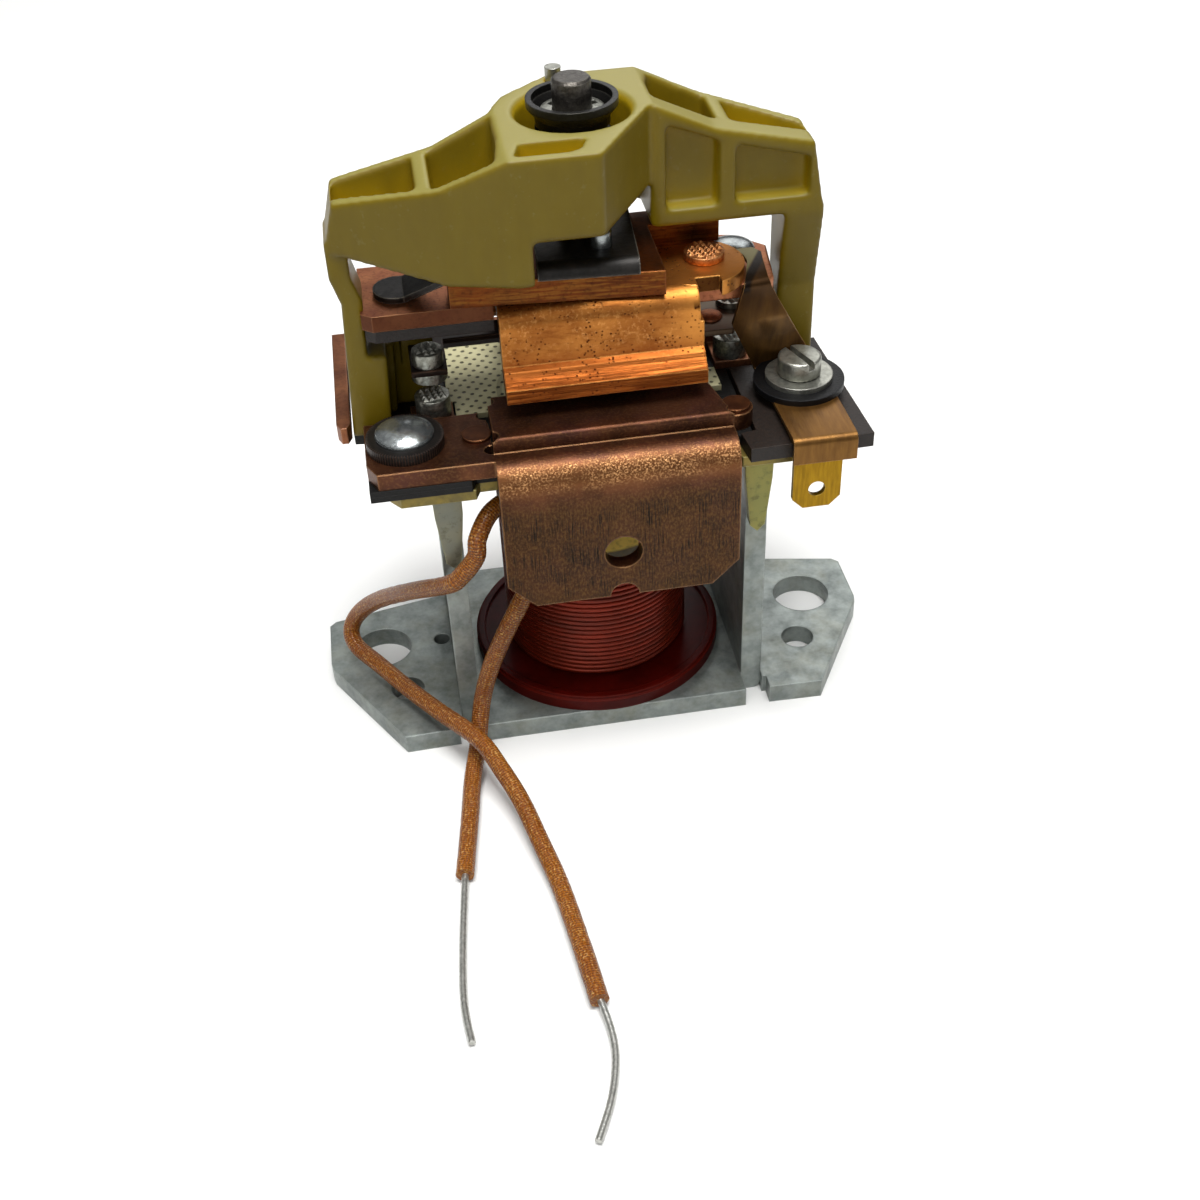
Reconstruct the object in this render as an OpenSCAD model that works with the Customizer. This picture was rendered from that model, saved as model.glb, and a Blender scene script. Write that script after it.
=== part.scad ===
// Open-frame direct-current power relay: steel yoke and coil below, copper contacts above,
// a moulded arch over the moving contact bridge, two sleeved coil leads.
// Millimetres, +Z up. Origin: coil axis at the underside of the base. The viewer stands at -Y.

/* [Base and yoke] */
// Thickness of the base plate and the mounting ears
base_t = 3; // [2.4:0.1:3.6]
// Clear space between the bobbin flanges and each upright
flange_room = 0.9; // [0.5:0.1:2]
// Thickness of the yoke strip
yoke_t = 2.9; // [2.4:0.1:3.4]
// Depth of the uprights, front to back
upright_w = 28.4; // [24:0.2:29]
// Distance from the axis to the outer tip of a mounting ear
ear_reach = 39.9; // [38.5:0.1:42]
// Diameter of the larger hole in each ear
ear_hole_d = 8.4; // [6.4:0.1:9]
// Diameter of the smaller hole in each ear
ear_pilot_d = 4.7; // [3.2:0.1:5.2]

/* [Coil] */
// Height of the bobbin over both flanges
bobbin_h = 39; // [36:0.5:42]
// Diameter of the bobbin flanges
flange_d = 36; // [33:0.5:38]
// Outer diameter of the winding
winding_d = 26.4; // [24:0.2:27]
// Loops in the outer layer of the winding
loops = 24; // [16:1:24]
// Diameter of the plunger bore
bore_d = 12.6; // [10:0.2:13]

/* [Plates and terminals] */
// Thickness of the top plate
plate_t = 1.5; // [1.2:0.1:2]
// Thickness of each black insulating sheet
sheet_t = 0.8; // [0.5:0.1:1]
// Thickness of the phenolic plate
phenolic_t = 2; // [1.6:0.1:2.4]
// Thickness of the copper terminals
term_t = 2.3; // [1.8:0.1:2.8]
// Length of a terminal tab below its seat
tab_drop = 18.9; // [15:0.1:22]
// Diameter of the hole in a terminal tab
tab_hole_d = 4.9; // [3.2:0.1:6.4]

/* [Contact bridge] */
// Gap between the contacts at rest
contact_gap = 2.3; // [1.5:0.1:3]
// Thickness of the bar on top of the bridge
bar_t = 3.2; // [2.4:0.1:4]
// Diameter of the contact faces
contact_d = 4.6; // [4:0.1:5]

/* [Arch and return spring] */
// Width of the arch over both legs
arch_w = 62; // [61.4:0.2:62.4]
// Diameter of the spring bore in the hub
hub_bore_d = 13.7; // [12.6:0.1:14.4]
// Diameter of the armature pin
pin_d = 4.7; // [4:0.1:5]
// Diameter of the return spring wire
spring_wire_d = 0.9; // [0.6:0.1:1]
// Curls of the return spring
spring_curls = 3.5; // [3:0.5:4]

/* [Auxiliary terminal and leads] */
// Width of the push-on blade
blade_w = 6.3; // [4.8:0.1:6.3]
// Diameter of the terminal screw
screw_d = 3.9; // [3:0.1:4.2]
// Diameter of the sleeved leads
lead_d = 2.7; // [2:0.1:2.8]
// Diameter of the bare wire ends
wire_d = 0.9; // [0.6:0.1:1.2]

/* [Hidden] */
$fn = 48;
e = 0.01;
run_gap = 0.08;      // radial play of the pin in its guides
free_gap = 0.3;      // least space beside a moving piece
seat_gap = 0.04;     // play of a rivet or screw in its hole
flange_t = 1.8;
rise = 2;            // height of the landing above the terminal seat
blade_t = 2;
blade_h = 9.3;
clamp_t = 1.8;
leaf_t = 0.8;
pad_t = 1.3;
yoke_gap = flange_d + 2 * flange_room;
base_w = flange_d - 0.6;
yo = yoke_gap / 2 + yoke_t;
hu = upright_w / 2;
hb = base_w / 2;     // front and rear edge of the base; the plates above follow it
z_plate = base_t + bobbin_h;
z_sheet = z_plate + plate_t;
z_term = z_sheet + 2 * sheet_t;
z_pad = z_sheet + phenolic_t;
z_land = z_term + rise + term_t;
z_lip = z_land + contact_gap;
z_leaf = z_lip + pad_t;
z_blade = z_lip + blade_h;
z_bar = z_blade + blade_t;
z_clamp = z_bar + bar_t;
z_arm = z_clamp + clamp_t;
z_hub = z_arm + 5.5;
z_seat = z_hub + 2.5;
z_top = z_seat + 7.7;
z_cup = z_top - 1.7;
z_pin = z_top + 3.7;
tab_y = hb + 3.3;    // outer face of a terminal tab
rivet_at = [yo + 2.7, hb - 5.8];
flush_at = [[15.6, hb - 5.8], [-17.7, hb - 5.8]];
contact_at = [20.4, 3.4];
screw_at = [27.2, -7.2];
dome_d = 7.4;
flush_d = 3.7;
ah = arch_w / 2;
leg = 5;
leg_t = 2.6;                // left leg above its foot
arm_end = ah - leg - 0.5;   // ends of the bridge arms, clear of the legs
left_end = ah - leg_t - 0.5;

ear_edge = [[yo, -hb], [30, -hb - 0.2], [ear_reach - 0.3, -1.6], [ear_reach, -0.3],
            [ear_reach, 8.4], [ear_reach - 0.9, 9.3], [yo, 12.8]];
sheet_edge = [[-31, -4.5], [-29.6, -4.7], [-29.6, -hb - 0.5], [-17, -hb - 0.5], [-16.4, 1.1 - hb], [16.6, 1.1 - hb],
              [17.2, 2.5 - hb], [19.3, 2.5 - hb], [19.3, 0.9], [23.8, 0.9], [23.8, 6.3], [29.5, 6.3],
              [29.5, hb + 0.4], [16, hb + 0.4], [15.6, hb - 1.1], [-16.6, hb - 1.1], [-17, hb + 0.4], [-31, hb + 0.4]];
plate_edge = [[-yo - 5.5, 1.5 - hb], [-yo - 4.2, -hb - 0.2], [-16.6, -hb - 0.2], [-16, 1.3 - hb], [16.8, 1.3 - hb],
              [17.4, -hb - 0.2], [screw_at[0] - 3.3, -hb - 0.2], [screw_at[0] - 3.3, 5], [yo + 5.5, 6.2], [yo + 5.5, hb - 1.5],
              [yo + 4.2, hb + 0.2], [16.2, hb + 0.2], [15.6, hb - 1.3], [-16.8, hb - 1.3], [-17.4, hb + 0.2],
              [-yo - 5.5, hb + 0.2]];
phenolic_edge = [[18.1, -hb - 1.5], [34.1, -hb - 1.1], [32.9, 5.9], [24.2, 5.9], [24.2, 0.6], [19.7, 0.6],
                 [19.7, 2.7 - hb], [17.7, 2.3 - hb]];
cream_edge = [[-17.6, -4.2], [17.6, -4.2], [17.6, 0.5], [13.4, 0.8], [13.4, hb - 4.3], [-18.4, hb - 4.3],
              [-18.4, -0.9], [-17.6, -0.9]];
arch_edge = [[-ah, -5.2], [-17, -11.5], [-9, -13.8], [1.4, -13.8], [9, -1.3], [10, -1.8], [ah, -1.8],
             [ah, 5.2], [17, 11], [9, 11.4], [-1.4, 11.4], [-8, 5.6], [-9.8, 1.8], [-ah, 1.8]];
// pockets, from the left end of the arch to the right
pockets = [[[-ah + 1.6, -4], [-19.6, -8.8], [-19.6, 0.4], [-ah + 1.6, 0.4]],
           [[-17.7, -9.8], [-10.6, -11.7], [-9.9, -6.6], [-9.9, 0.4], [-17.7, 0.4]],
           [[17.7, 2.1], [9.9, 2.1], [9.9, 6.6], [10.6, 9.9], [17.7, 9.4]],
           [[19.6, 2.1], [19.6, 8.6], [ah - 1.6, 4], [ah - 1.6, 2.1]]];
pocket_hub = [[-8.3, -12.3], [-2.4, -12.3], [-0.8, -11.7], [0.3, -9], [-7.4, -9]];
dowel_at = [-1, 9.3];
bar_edge = [[-17, -7.2], [9.3, -9.4], [9.3, 3.2], [18.6, 3.2], [18.6, 7.2], [-9.3, 7.2],
            [-9.3, -3.2], [-17, -3.2]];

// Routes of the two leads and their bare ends, from the coil outwards
route_long = [[-8.2, -9, 38], [-11.6, -12.2, 38], [-15, 2.8 - hb, 37.5], [-17, 0.5 - hb, 35.4], [-17.5, -hb - 0.1, 33],
              [-19.7, -hb - 0.2, 30.2], [0.3 - yo, 0.7 - hb, 28.4], [-yo - 4.9, -10.6, 23], [-yo - 9.6, -2.8, 16],
              [-34.6, 1.1, 11], [-36.2, 1.3, 8], [-35.7, -1, 6.5], [-32.7, -4.6, 5.4],
              [-28.7, -10.6, 5.2], [-24.8, -16.5, 5.6], [-20, -23.4, 6], [-17.5, -28.7, 5],
              [-15.5, -33.9, 3.8], [-13.8, -40.5, 2.5], [-12.3, -47, 1.6], [-11.1, -56.1, 1.5],
              [-10.1, -65.3, 1.5]];
route_short = [[-7.2, -9.8, 35], [-8.6, -13.4, 32], [-10.4, 2.3 - hb, 26.5], [-14.7, 1.1 - hb, 18.4],
               [-17.1, 0.6 - hb, 13.2], [-18.8, 0.1 - hb, 7.6], [-20.1, -hb - 3.5, 3.2], [-21.5, -26.5, 1.6],
               [-22.6, -33.8, 1.5], [-24.1, -43.1, 1.5]];
route_end_long = [[-10.2, -64, 1.5], [-9.4, -69, 1], [-9.5, -73, 0.8], [-10.8, -78, 0.8],
                  [-13.1, -83, 0.8]];
route_end_short = [[-23.9, -41.8, 1.5], [-25.3, -53, 1], [-26, -61.9, 0.8], [-25.6, -67.9, 0.8]];

function mix(a, b, t) = a + (b - a) * t;
function curve(p, i, t) =
    let (a = p[max(i - 1, 0)], b = p[i], c = p[i + 1], d = p[min(i + 2, len(p) - 1)])
    0.5 * ((2 * b) + (c - a) * t + (2 * a - 5 * b + 4 * c - d) * t * t
           + (3 * b - a - 3 * c + d) * t * t * t);
function along(p, n) = [for (i = [0 : len(p) - 2]) for (k = [0 : n - 1]) curve(p, i, k / n), p[len(p) - 1]];
function unit(v) = v / norm(v);
function turns(r, pitch, n, per) =
    [for (i = [0 : n * per]) [r * cos(360 * i / per), r * sin(360 * i / per), pitch * i / per]];

// A tube of diameter d with s sides through the points c, closed by a flat face at each end
module tube(c, d, s, ref) {
    last = len(c) - 1;
    pts = [for (i = [0 : last])
        let (t = unit(c[min(i + 1, last)] - c[max(i - 1, 0)]), u = unit(cross(t, ref)), v = cross(t, u))
        for (k = [0 : s - 1]) c[i] + (u * cos(360 * k / s) + v * sin(360 * k / s)) * d / 2];
    faces = concat(
        [[for (k = [0 : s - 1]) k]],
        [[for (k = [0 : s - 1]) last * s + s - 1 - k]],
        [for (i = [0 : last - 1]) for (k = [0 : s - 1])
            [i * s + (k + 1) % s, i * s + k, (i + 1) * s + k, (i + 1) * s + (k + 1) % s]]);
    polyhedron(pts, faces, convexity = 10);
}

module slab(edge, z0, h) translate([0, 0, z0]) linear_extrude(h) polygon(edge);
module rod(at, z0, z1, d) translate([at[0], at[1], z0]) cylinder(h = z1 - z0, d = d);
module both() for (a = [0, 180]) rotate([0, 0, a]) children();
// Quarter ring along X, filling the +Y and +Z quadrant
module quarter(ro, ri, w) intersection() {
    rotate([0, 90, 0]) difference() {
        cylinder(h = w, r = ro);
        translate([0, 0, -1]) cylinder(h = w + 2, r = ri);
    }
    cube([w, ro, ro]);
}

module yoke() color([0.62, 0.66, 0.67]) difference() {
    union() {
        translate([-yo, -hu, 0]) cube([2 * yo, upright_w, base_t]);
        translate([-yo + yoke_t, -hb, 0]) cube([yoke_gap, base_w, base_t]);
        for (s = [-1, 1]) translate([s > 0 ? yo - yoke_t : -yo, -hu, 0]) cube([yoke_t, upright_w, z_plate]);
    }
    rod([0, 0], -1, base_t + 1, 8.1);
    // rounded outer foot of each upright
    for (s = [0, 1]) mirror([s, 0, 0]) translate([yo - 1.2, -hb, 0]) difference() {
        translate([0, -1, -1]) cube([3, base_w + 2, 2.2]);
        translate([0, -2, 1.2]) rotate([-90, 0, 0]) cylinder(h = base_w + 4, r = 1.2);
    }
}

module ear(relief) color([0.62, 0.66, 0.67]) difference() {
    slab(ear_edge, 0, base_t);
    rod([32.1, 2], -1, base_t + 1, ear_hole_d);
    rod([29, -7.8], -1, base_t + 1, ear_pilot_d);
    if (relief) rod([yo + 1.5, 2.2], -1, base_t + 1, 2.4);
    // relief notch beside the foot of the upright
    translate([yo - e, -hb - 1, -1]) cube([0.6, 3.4, base_t + 2]);
}
module ear_right() ear(false);
module ear_left() mirror([1, 0, 0]) ear(true);

module core() color([0.5, 0.5, 0.5]) {
    rod([0, 0], 0, base_t + e, 8);
    rod([0, 0], base_t, base_t + 0.42 * bobbin_h, bore_d - 0.6);
}

module bobbin() color([0.5, 0.1, 0.06]) difference() {
    union() {
        rod([0, 0], base_t, base_t + flange_t, flange_d);
        rod([0, 0], z_plate - flange_t, z_plate, flange_d);
        rod([0, 0], base_t, z_plate, bore_d + 2.4);
        // raised rim round each flange
        for (z = [base_t + flange_t - e, z_plate - flange_t - 0.5]) difference() {
            rod([0, 0], z, z + 0.5 + e, flange_d - 0.6);
            rod([0, 0], z - 1, z + 2, flange_d - 2.6);
        }
    }
    rod([0, 0], base_t - 1, z_plate + 1, bore_d);
}

coil_z0 = base_t + flange_t;
coil_h = bobbin_h - 2 * flange_t;
coil_pitch = (coil_h - 0.3) / (loops + 1);
coil_wire_d = min(0.95, coil_pitch - 0.45);
drum_d = winding_d - 2 * coil_wire_d - 0.3;
module winding_core() color([0.4, 0.12, 0.05]) difference() {
    rod([0, 0], coil_z0 + 0.1, coil_z0 + coil_h - 0.1, drum_d);
    rod([0, 0], coil_z0 - 1, coil_z0 + coil_h + 1, bore_d + 2.5);
}
module winding() color([0.7, 0.33, 0.12]) translate([0, 0, coil_z0 + coil_pitch / 2 + 0.15])
    tube(turns((winding_d - coil_wire_d) / 2, coil_pitch, loops, 24), coil_wire_d, 6, [0, 0, 1]);

module top_plate() color([0.7, 0.66, 0.32]) difference() {
    union() {
        slab(plate_edge, z_plate, plate_t);
        // tapered tongues over the front and rear edges of the uprights
        both() for (x = [-20.3, 20.1]) translate([x, -hu - 0.2, z_plate + e]) rotate([90, 0, 0])
            linear_extrude(1.5) polygon([[-1.9, 0], [-1.8, -3.5], [-1, -11], [0, -12], [1, -11], [1.8, -3.5], [1.9, 0]]);
    }
    rod([0, 0], z_plate - 1, z_sheet + 1, bore_d + 1.4);
    both() fixings();
}
module fixings() {
    for (p = flush_at) rod(p, z_plate - 2, z_land + 2, flush_d - 1.2 + 2 * seat_gap);
    rod(rivet_at, z_plate - 2, z_land + 2, 4 + 2 * seat_gap);
}

module insulator(z) difference() {
    slab(sheet_edge, z, sheet_t);
    rod([0, 0], z - 1, z + 2, bore_d + 1.4);
    both() fixings();
    rod([-ah + leg / 2, -3], z - 1, z + 2, 2.8 + 2 * seat_gap);
}
module lower_sheet() color([0.06, 0.06, 0.06]) insulator(z_sheet);
module upper_sheet() color([0.08, 0.07, 0.06]) insulator(z_sheet + sheet_t);

module phenolic_plate() color([0.2, 0.13, 0.1]) difference() {
    slab(phenolic_edge, z_sheet, phenolic_t);
    rod(screw_at, z_sheet - 1, z_pad + 1, screw_d + 2 * seat_gap);
    rod([ah - leg / 2, 3], z_sheet - 1, z_pad + 1, 2.8 + 2 * seat_gap);
}

// One terminal, facing +Y, with y = 0 at the edge of the base; its long arm lies at +X
module terminal(x0, x1) translate([0, hb, 0]) {
    w = x1 - x0;
    mid = (x0 + x1) / 2;
    edge = tab_y - hb;
    difference() {
        union() {
            translate([x0, -1.6, z_term]) cube([w, 1.6 + edge - 3.3 + e, term_t]);
            slab([[x0 + 0.6, -3.3], [x0 + 2.2, -11.3], [x1 - 0.2, -11.3], [x1 - 0.2, -1.9], [x0, -1.9], [x0, -2.4]],
                 z_term + rise, term_t);
            // S-step between the landing and the low strip
            translate([x0, -2.4, z_term]) cube([w, 1.1, rise + term_t - 0.6]);
            translate([x0, -1.9, z_land - 0.6]) quarter(0.6, e, w);
            // bend into the tab
            translate([x0, edge - 3.3, z_term + term_t - 3.3]) quarter(3.3, 3.3 - term_t, w);
            translate([x0, edge - term_t, z_term - tab_drop]) cube([w, term_t, tab_drop + term_t - 3.3 + e]);
            // long arm with a clipped outer corner
            slab([[x1 - e, 0.4], [28.4, 0.4], [29.6, -2.2], [29.6, -11.2], [x1 + 0.2, -11.2], [x1 + 0.2, -9.1], [x1 - e, -8.3]],
                 z_term, term_t);
        }
        translate([mid, edge + 1, z_term - 11.9]) rotate([90, 0, 0]) cylinder(h = 6, d = tab_hole_d);
        translate([mid, edge + 1, z_term - tab_drop]) rotate([90, 0, 0]) cylinder(h = 6, d = 3.8);
        // clipped corners of the tab
        for (x = [x0, x1]) translate([x, edge - 3, z_term - tab_drop]) rotate([0, 45, 0])
            translate([-2.5, 0, -2.5]) cube([5, 4, 5]);
        // relief holes beside the step
        for (x = [x0 - 0.3, x1 + 0.1]) rod([x, -2.4], z_term - 1, z_land + 1, 2);
        rod([x1 + 0.1, -10.5], z_term - 1, z_land + 1, 2.4);
        translate([0, -hb, 0]) fixings();
    }
}
module contact_tongue() slab([[17.9, -hb + 11.1], [23.4, -hb + 11.1], [23.4, -1.2], [17.9, -1.2]], z_term, 1.1);
module front_terminal() color([0.45, 0.27, 0.17]) rotate([0, 0, 180]) {
    terminal(-16.5, 13.9);
    // short lobe for the second flush rivet
    difference() {
        union() {
            rod(flush_at[1], z_term, z_term + term_t, 4.4);
            translate([-17.7, hb - 7.8, z_term]) cube([2.4, 4.2, term_t]);
        }
        fixings();
    }
    mirror([0, 1, 0]) contact_tongue();
}
module rear_terminal() color([0.5, 0.28, 0.18]) {
    terminal(-9.6, 13.9);
    mirror([0, 1, 0]) contact_tongue();
    // strip that runs forward outside the left leg of the arch
    slab([[-9.6 + e, hb - 1.6], [-9.6 + e, hb + 0.2], [-33, hb + 0.2], [-33, -5.4], [-32.5, -6.6], [-31.7, -6.6],
          [-31.2, -5.4], [-31.2, hb - 2.1], [-30.8, hb - 1.6]], z_term, term_t);
}

module dome_rivets() color([0.72, 0.74, 0.75]) both() translate([rivet_at[0], rivet_at[1], 0]) {
    rod([0, 0], z_plate - 0.9, z_term + term_t + 1.5, 4);
    rod([0, 0], z_plate - 1.1, z_plate, 4.9);
    translate([0, 0, z_term + term_t + 1.4]) cylinder(h = 0.5, d = dome_d);
    translate([0, 0, z_term + term_t + 1.8]) intersection() {
        translate([0, 0, 1.3 - dome_d * 0.9]) sphere(d = dome_d * 1.8);
        cylinder(h = 3, d = dome_d - 0.2);
    }
}
module rivet_washers() color([0.12, 0.09, 0.08]) both() translate([rivet_at[0], rivet_at[1], z_term + term_t])
    difference() {
        cylinder(h = 1.4, d = 9.8);
        translate([0, 0, -1]) cylinder(h = 4, d = 4 + 2 * seat_gap);
    }
module flush_rivet(p) {
    rod(p, z_plate, z_term + term_t + 0.4, flush_d - 1.2);
    rod(p, z_term + term_t, z_term + term_t + 0.5, flush_d);
}
module flush_rivets() color([0.4, 0.26, 0.17]) {
    both() flush_rivet(flush_at[0]);
    flush_rivet(-flush_at[1]);
}

module cream_sheet() color([0.68, 0.66, 0.54]) difference() {
    slab(cream_edge, z_term, 0.8);
    rod([0, 0], z_term - 1, z_term + 2, bore_d + 1.4);
}

module fixed_contacts() color([0.66, 0.66, 0.62]) both()
    rod([-contact_at[0], -contact_at[1]], z_term + 1.1, z_land, contact_d);

blade_y = hb + 1.8;   // inner face of the blade, in front of the phenolic plate
module blade_terminal() color([0.78, 0.6, 0.16]) difference() {
    translate([23.4, -blade_y, z_pad]) {
        cube([blade_w, blade_y - 1.2, 0.8]);
        mirror([0, 1, 0]) quarter(0.8, e, blade_w);
        translate([0, -0.8, -9.3]) cube([blade_w, 0.8, 9.3 + e]);
    }
    translate([23.4 + blade_w / 2, 1.5 - blade_y, z_pad - 6.5]) rotate([90, 0, 0]) cylinder(h = 4, d = 2.2);
    for (s = [0, 1]) translate([23.4 + s * blade_w, -blade_y - 0.4, z_pad - 9.3]) rotate([0, 45, 0])
        cube([2, 3, 2], center = true);
    rod(screw_at, z_pad - 1, z_pad + 2, screw_d + 2 * seat_gap);
}

module auxiliary_spring() color([0.58, 0.42, 0.2]) {
    z = z_pad + 0.8;
    difference() {
        translate([23.2, -blade_y - 0.8, z]) cube([8.2, blade_y + 0.7, 0.5]);
        rod(screw_at, z - 1, z + 2, screw_d + 2 * seat_gap);
    }
    translate([23.2, -blade_y - 0.8, z]) mirror([0, 1, 0]) quarter(0.5, e, 8.2);
    translate([23.2, -blade_y - 1.3, z - 3]) cube([8.2, 0.5, 3 + e]);
    // sloping leaf: it rises in front of the leg of the arch and turns back at the fold
    for (k = [0 : 2]) {
        leaf_panel([leaf_line[k][0], leaf_line[k][1], leaf_line[k + 1][0]]);
        leaf_panel([leaf_line[k][1], leaf_line[k + 1][0], leaf_line[k + 1][1]]);
    }
    // flat part beyond the fold, with a rounded end
    slab([[19, -3], [25.2, 7.5], [24.6, 9.4], [22.4, 10.2], [20.4, 7.5], [15.2, -1.6]], z + 9.7, 0.5);
    rod([17.8, -4.9], z + 9.7, z + 10.2, 4.6);
    slab([[19.9, -5.8], [20.4, -1.6], [16, -1], [15.6, -4.2]], z + 9.7, 0.5);
}
leaf_line = [[[22.9, -0.5, 0.25], [30.6, -0.1, 0.25]], [[20.7, -3.3, 5.4], [27.6, -0.3, 6.4]],
             [[19.8, -3.2, 8], [25.4, 0.1, 8.8]], [[19.2, -3, 9.95], [25, 7.4, 9.95]]];
module leaf_panel(corners) translate([0, 0, z_pad + 0.8]) hull() for (c = corners) translate(c) cube(0.5, center = true);

module ring(at, z0, z1, d, hole) difference() {
    rod(at, z0, z1, d);
    rod(at, z0 - 1, z1 + 1, hole);
}
z_strip = z_pad + 1.3;
module fibre_washer() color([0.1, 0.1, 0.11]) ring(screw_at, z_strip, z_strip + 0.9, 11.9, screw_d + 2 * seat_gap);
module screw_washer() color([0.72, 0.74, 0.76]) ring(screw_at, z_strip + 0.9, z_strip + 1.6, 8.8, screw_d + 2 * seat_gap);
module terminal_screw() color([0.74, 0.74, 0.7]) difference() {
    union() {
        rod(screw_at, z_sheet - 3.6, z_strip + 1.7, screw_d);
        rod(screw_at, z_strip + 1.6, z_strip + 4.2, screw_d * 1.45);
    }
    translate([screw_at[0], screw_at[1], z_strip + 4.2]) rotate([0, 0, -35]) cube([9, 0.9, 2.4], center = true);
}
module terminal_nut() color([0.6, 0.62, 0.62]) difference() {
    translate([screw_at[0], screw_at[1], z_sheet - 2.8]) cylinder(h = 2.8, d = 6.3, $fn = 6);
    rod(screw_at, z_sheet - 4, z_sheet + 1, screw_d + 2 * seat_gap);
}

module arch() color([0.62, 0.58, 0.28]) difference() {
    union() {
        intersection() {
            slab(arch_edge, z_arm - 1, z_top - z_arm + 1);
            translate([0, 20, 0]) rotate([90, 0, 0]) linear_extrude(40)
                polygon([[-ah, z_arm + 3], [-ah + 1.6, z_arm + 9.3], [-17, z_top - 3.6],
                         [-9.3, z_top], [9.3, z_top], [17, z_top - 3.6], [ah - 1.6, z_arm + 9.3],
                         [ah, z_arm], [-17, z_arm]]);
        }
        // left leg: a wide foot, and a thin plate beside the bridge arm
        translate([-ah, -5.5, z_term]) cube([leg, 5, foot_h]);
        translate([-ah, 0, 0]) rotate([90, 0, 90]) linear_extrude(leg_t)
            polygon([[-5.5, z_term], [-0.5, z_term], [-0.5, z_arm - 11], [1.8, z_arm], [1.8, z_arm + 4],
                     [-5.2, z_arm + 4], [-5.5, z_arm]]);
        translate([ah - leg, 0, 0]) rotate([90, 0, 90]) linear_extrude(leg)
            polygon([[5.5, z_pad], [0.5, z_pad], [0.5, z_arm - 11], [-1.8, z_arm], [-1.8, z_arm + 1],
                     [5.2, z_arm + 1], [5.5, z_arm]]);
        // low web beside the left leg
        translate([-ah, -0.5 - e, z_term]) cube([leg + 1, 4.5, foot_h - 1]);
        translate([-ah + leg, 1.4, z_term]) cube([6.6, 2.6, foot_h - 1]);
        rod([-ah + leg / 2, -3], z_sheet, z_term + 1, 2.8);
        rod([ah - leg / 2, 3], z_sheet, z_pad + 1, 2.8);
    }
    // spring bore, pin guide and the open underside of the hub
    rod([0, 0], z_seat, z_top + 1, hub_bore_d);
    translate([0, 0, z_top - 0.6]) cylinder(h = 0.7, d1 = hub_bore_d, d2 = hub_bore_d + 1.2);
    rod([0, 0], z_hub - 1, z_top, pin_d + 2 * run_gap);
    translate([-7, -14, z_arm - 1]) cube([16, 8, z_hub - z_arm + 1]);
    translate([-9, -7, z_arm - 1]) cube([18, 14, z_hub - z_arm + 1]);
    translate([-9, 6, z_arm - 1]) cube([16, 8, z_hub - z_arm + 1]);
    for (edge = pockets) slab(edge, z_arm + 4.5, 20);
    slab(pocket_hub, z_top - 3, 5);
    recess([[10.9, z_arm + 2.2], [17.4, z_arm + 2.2], [17.4, z_top - 5.3], [10.9, z_top - 2.8]]);
    recess([[19.6, z_arm + 2.4], [28.9, z_arm + 2.4], [28.9, z_arm + 7.3], [19.6, z_arm + 9.7]]);
    rod(dowel_at, z_top - 5, z_top + 1, 2);
}
foot_h = 11.3;
// Recessed panel in the front wall of the right arm
module recess(edge) translate([0, 0.7, 0]) rotate([90, 0, 0]) linear_extrude(4) polygon(edge);
module hub_dowel() color([0.7, 0.7, 0.68]) rod(dowel_at, z_top - 5, z_top + 1.6, 2);

module long_lead() color([0.62, 0.36, 0.08]) tube(along(route_long, 2), lead_d, 8, [0.75, 0.5, -0.45]);
module short_lead() color([0.62, 0.36, 0.08]) tube(along(route_short, 2), lead_d, 8, [0.75, 0.5, -0.45]);
module long_wire_end() color([0.75, 0.75, 0.75]) tube(along(route_end_long, 2), wire_d, 8, [0.75, 0.5, -0.45]);
module short_wire_end() color([0.75, 0.75, 0.75]) tube(along(route_end_short, 2), wire_d, 8, [0.75, 0.5, -0.45]);

// Armature: plunger, pin, retaining cup and clip
plunger_z0 = base_t + 0.42 * bobbin_h + contact_gap + 0.4;
module plunger() color([0.5, 0.5, 0.5]) rod([0, 0], plunger_z0, z_plate - 3, bore_d - 0.6);
module pin() color([0.42, 0.41, 0.38]) {
    rod([0, 0], z_plate - 3, z_pin - 0.3, pin_d);
    translate([0, 0, z_pin - 0.3]) cylinder(h = 0.3, d1 = pin_d, d2 = pin_d - 0.6);
    rod([0, 0], z_leaf - 2.2, z_leaf - 0.05, 8);
}
module cup() color([0.16, 0.16, 0.15]) translate([0, 0, z_cup]) difference() {
    union() {
        cylinder(h = 1.1, d = 9);
        translate([0, 0, 1]) cylinder(h = 1.2, d1 = 9, d2 = 11);
        translate([0, 0, 2.2]) cylinder(h = 0.9, d = 11);
    }
    translate([0, 0, 0.9]) cylinder(h = 1.4, d1 = 7.8, d2 = 9.6);
    translate([0, 0, 2.2]) cylinder(h = 2, d = 9.6);
    translate([0, 0, -1]) cylinder(h = 4, d = pin_d + 2 * seat_gap);
}
module clip() color([0.6, 0.6, 0.62]) translate([0, 0, z_cup + 0.9]) difference() {
    cylinder(h = 0.8, d = 7.6);
    translate([0, 0, -1]) cylinder(h = 3, d = pin_d + 2 * seat_gap);
    for (a = [20, 140, 260]) rotate([0, 0, a]) translate([pin_d / 2 - 0.2, -0.5, -1]) cube([1.1, 1, 3]);
}
spring_d = hub_bore_d - 3.6;
module return_spring() color([0.2, 0.2, 0.19])
    translate([0, 0, z_seat + spring_wire_d / 2 + 0.05])
        tube(turns((spring_d - spring_wire_d) / 2, (z_cup - z_seat - spring_wire_d - 0.1) / spring_curls,
                   spring_curls, 8), spring_wire_d, 6, [0, 0, 1]);

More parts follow.
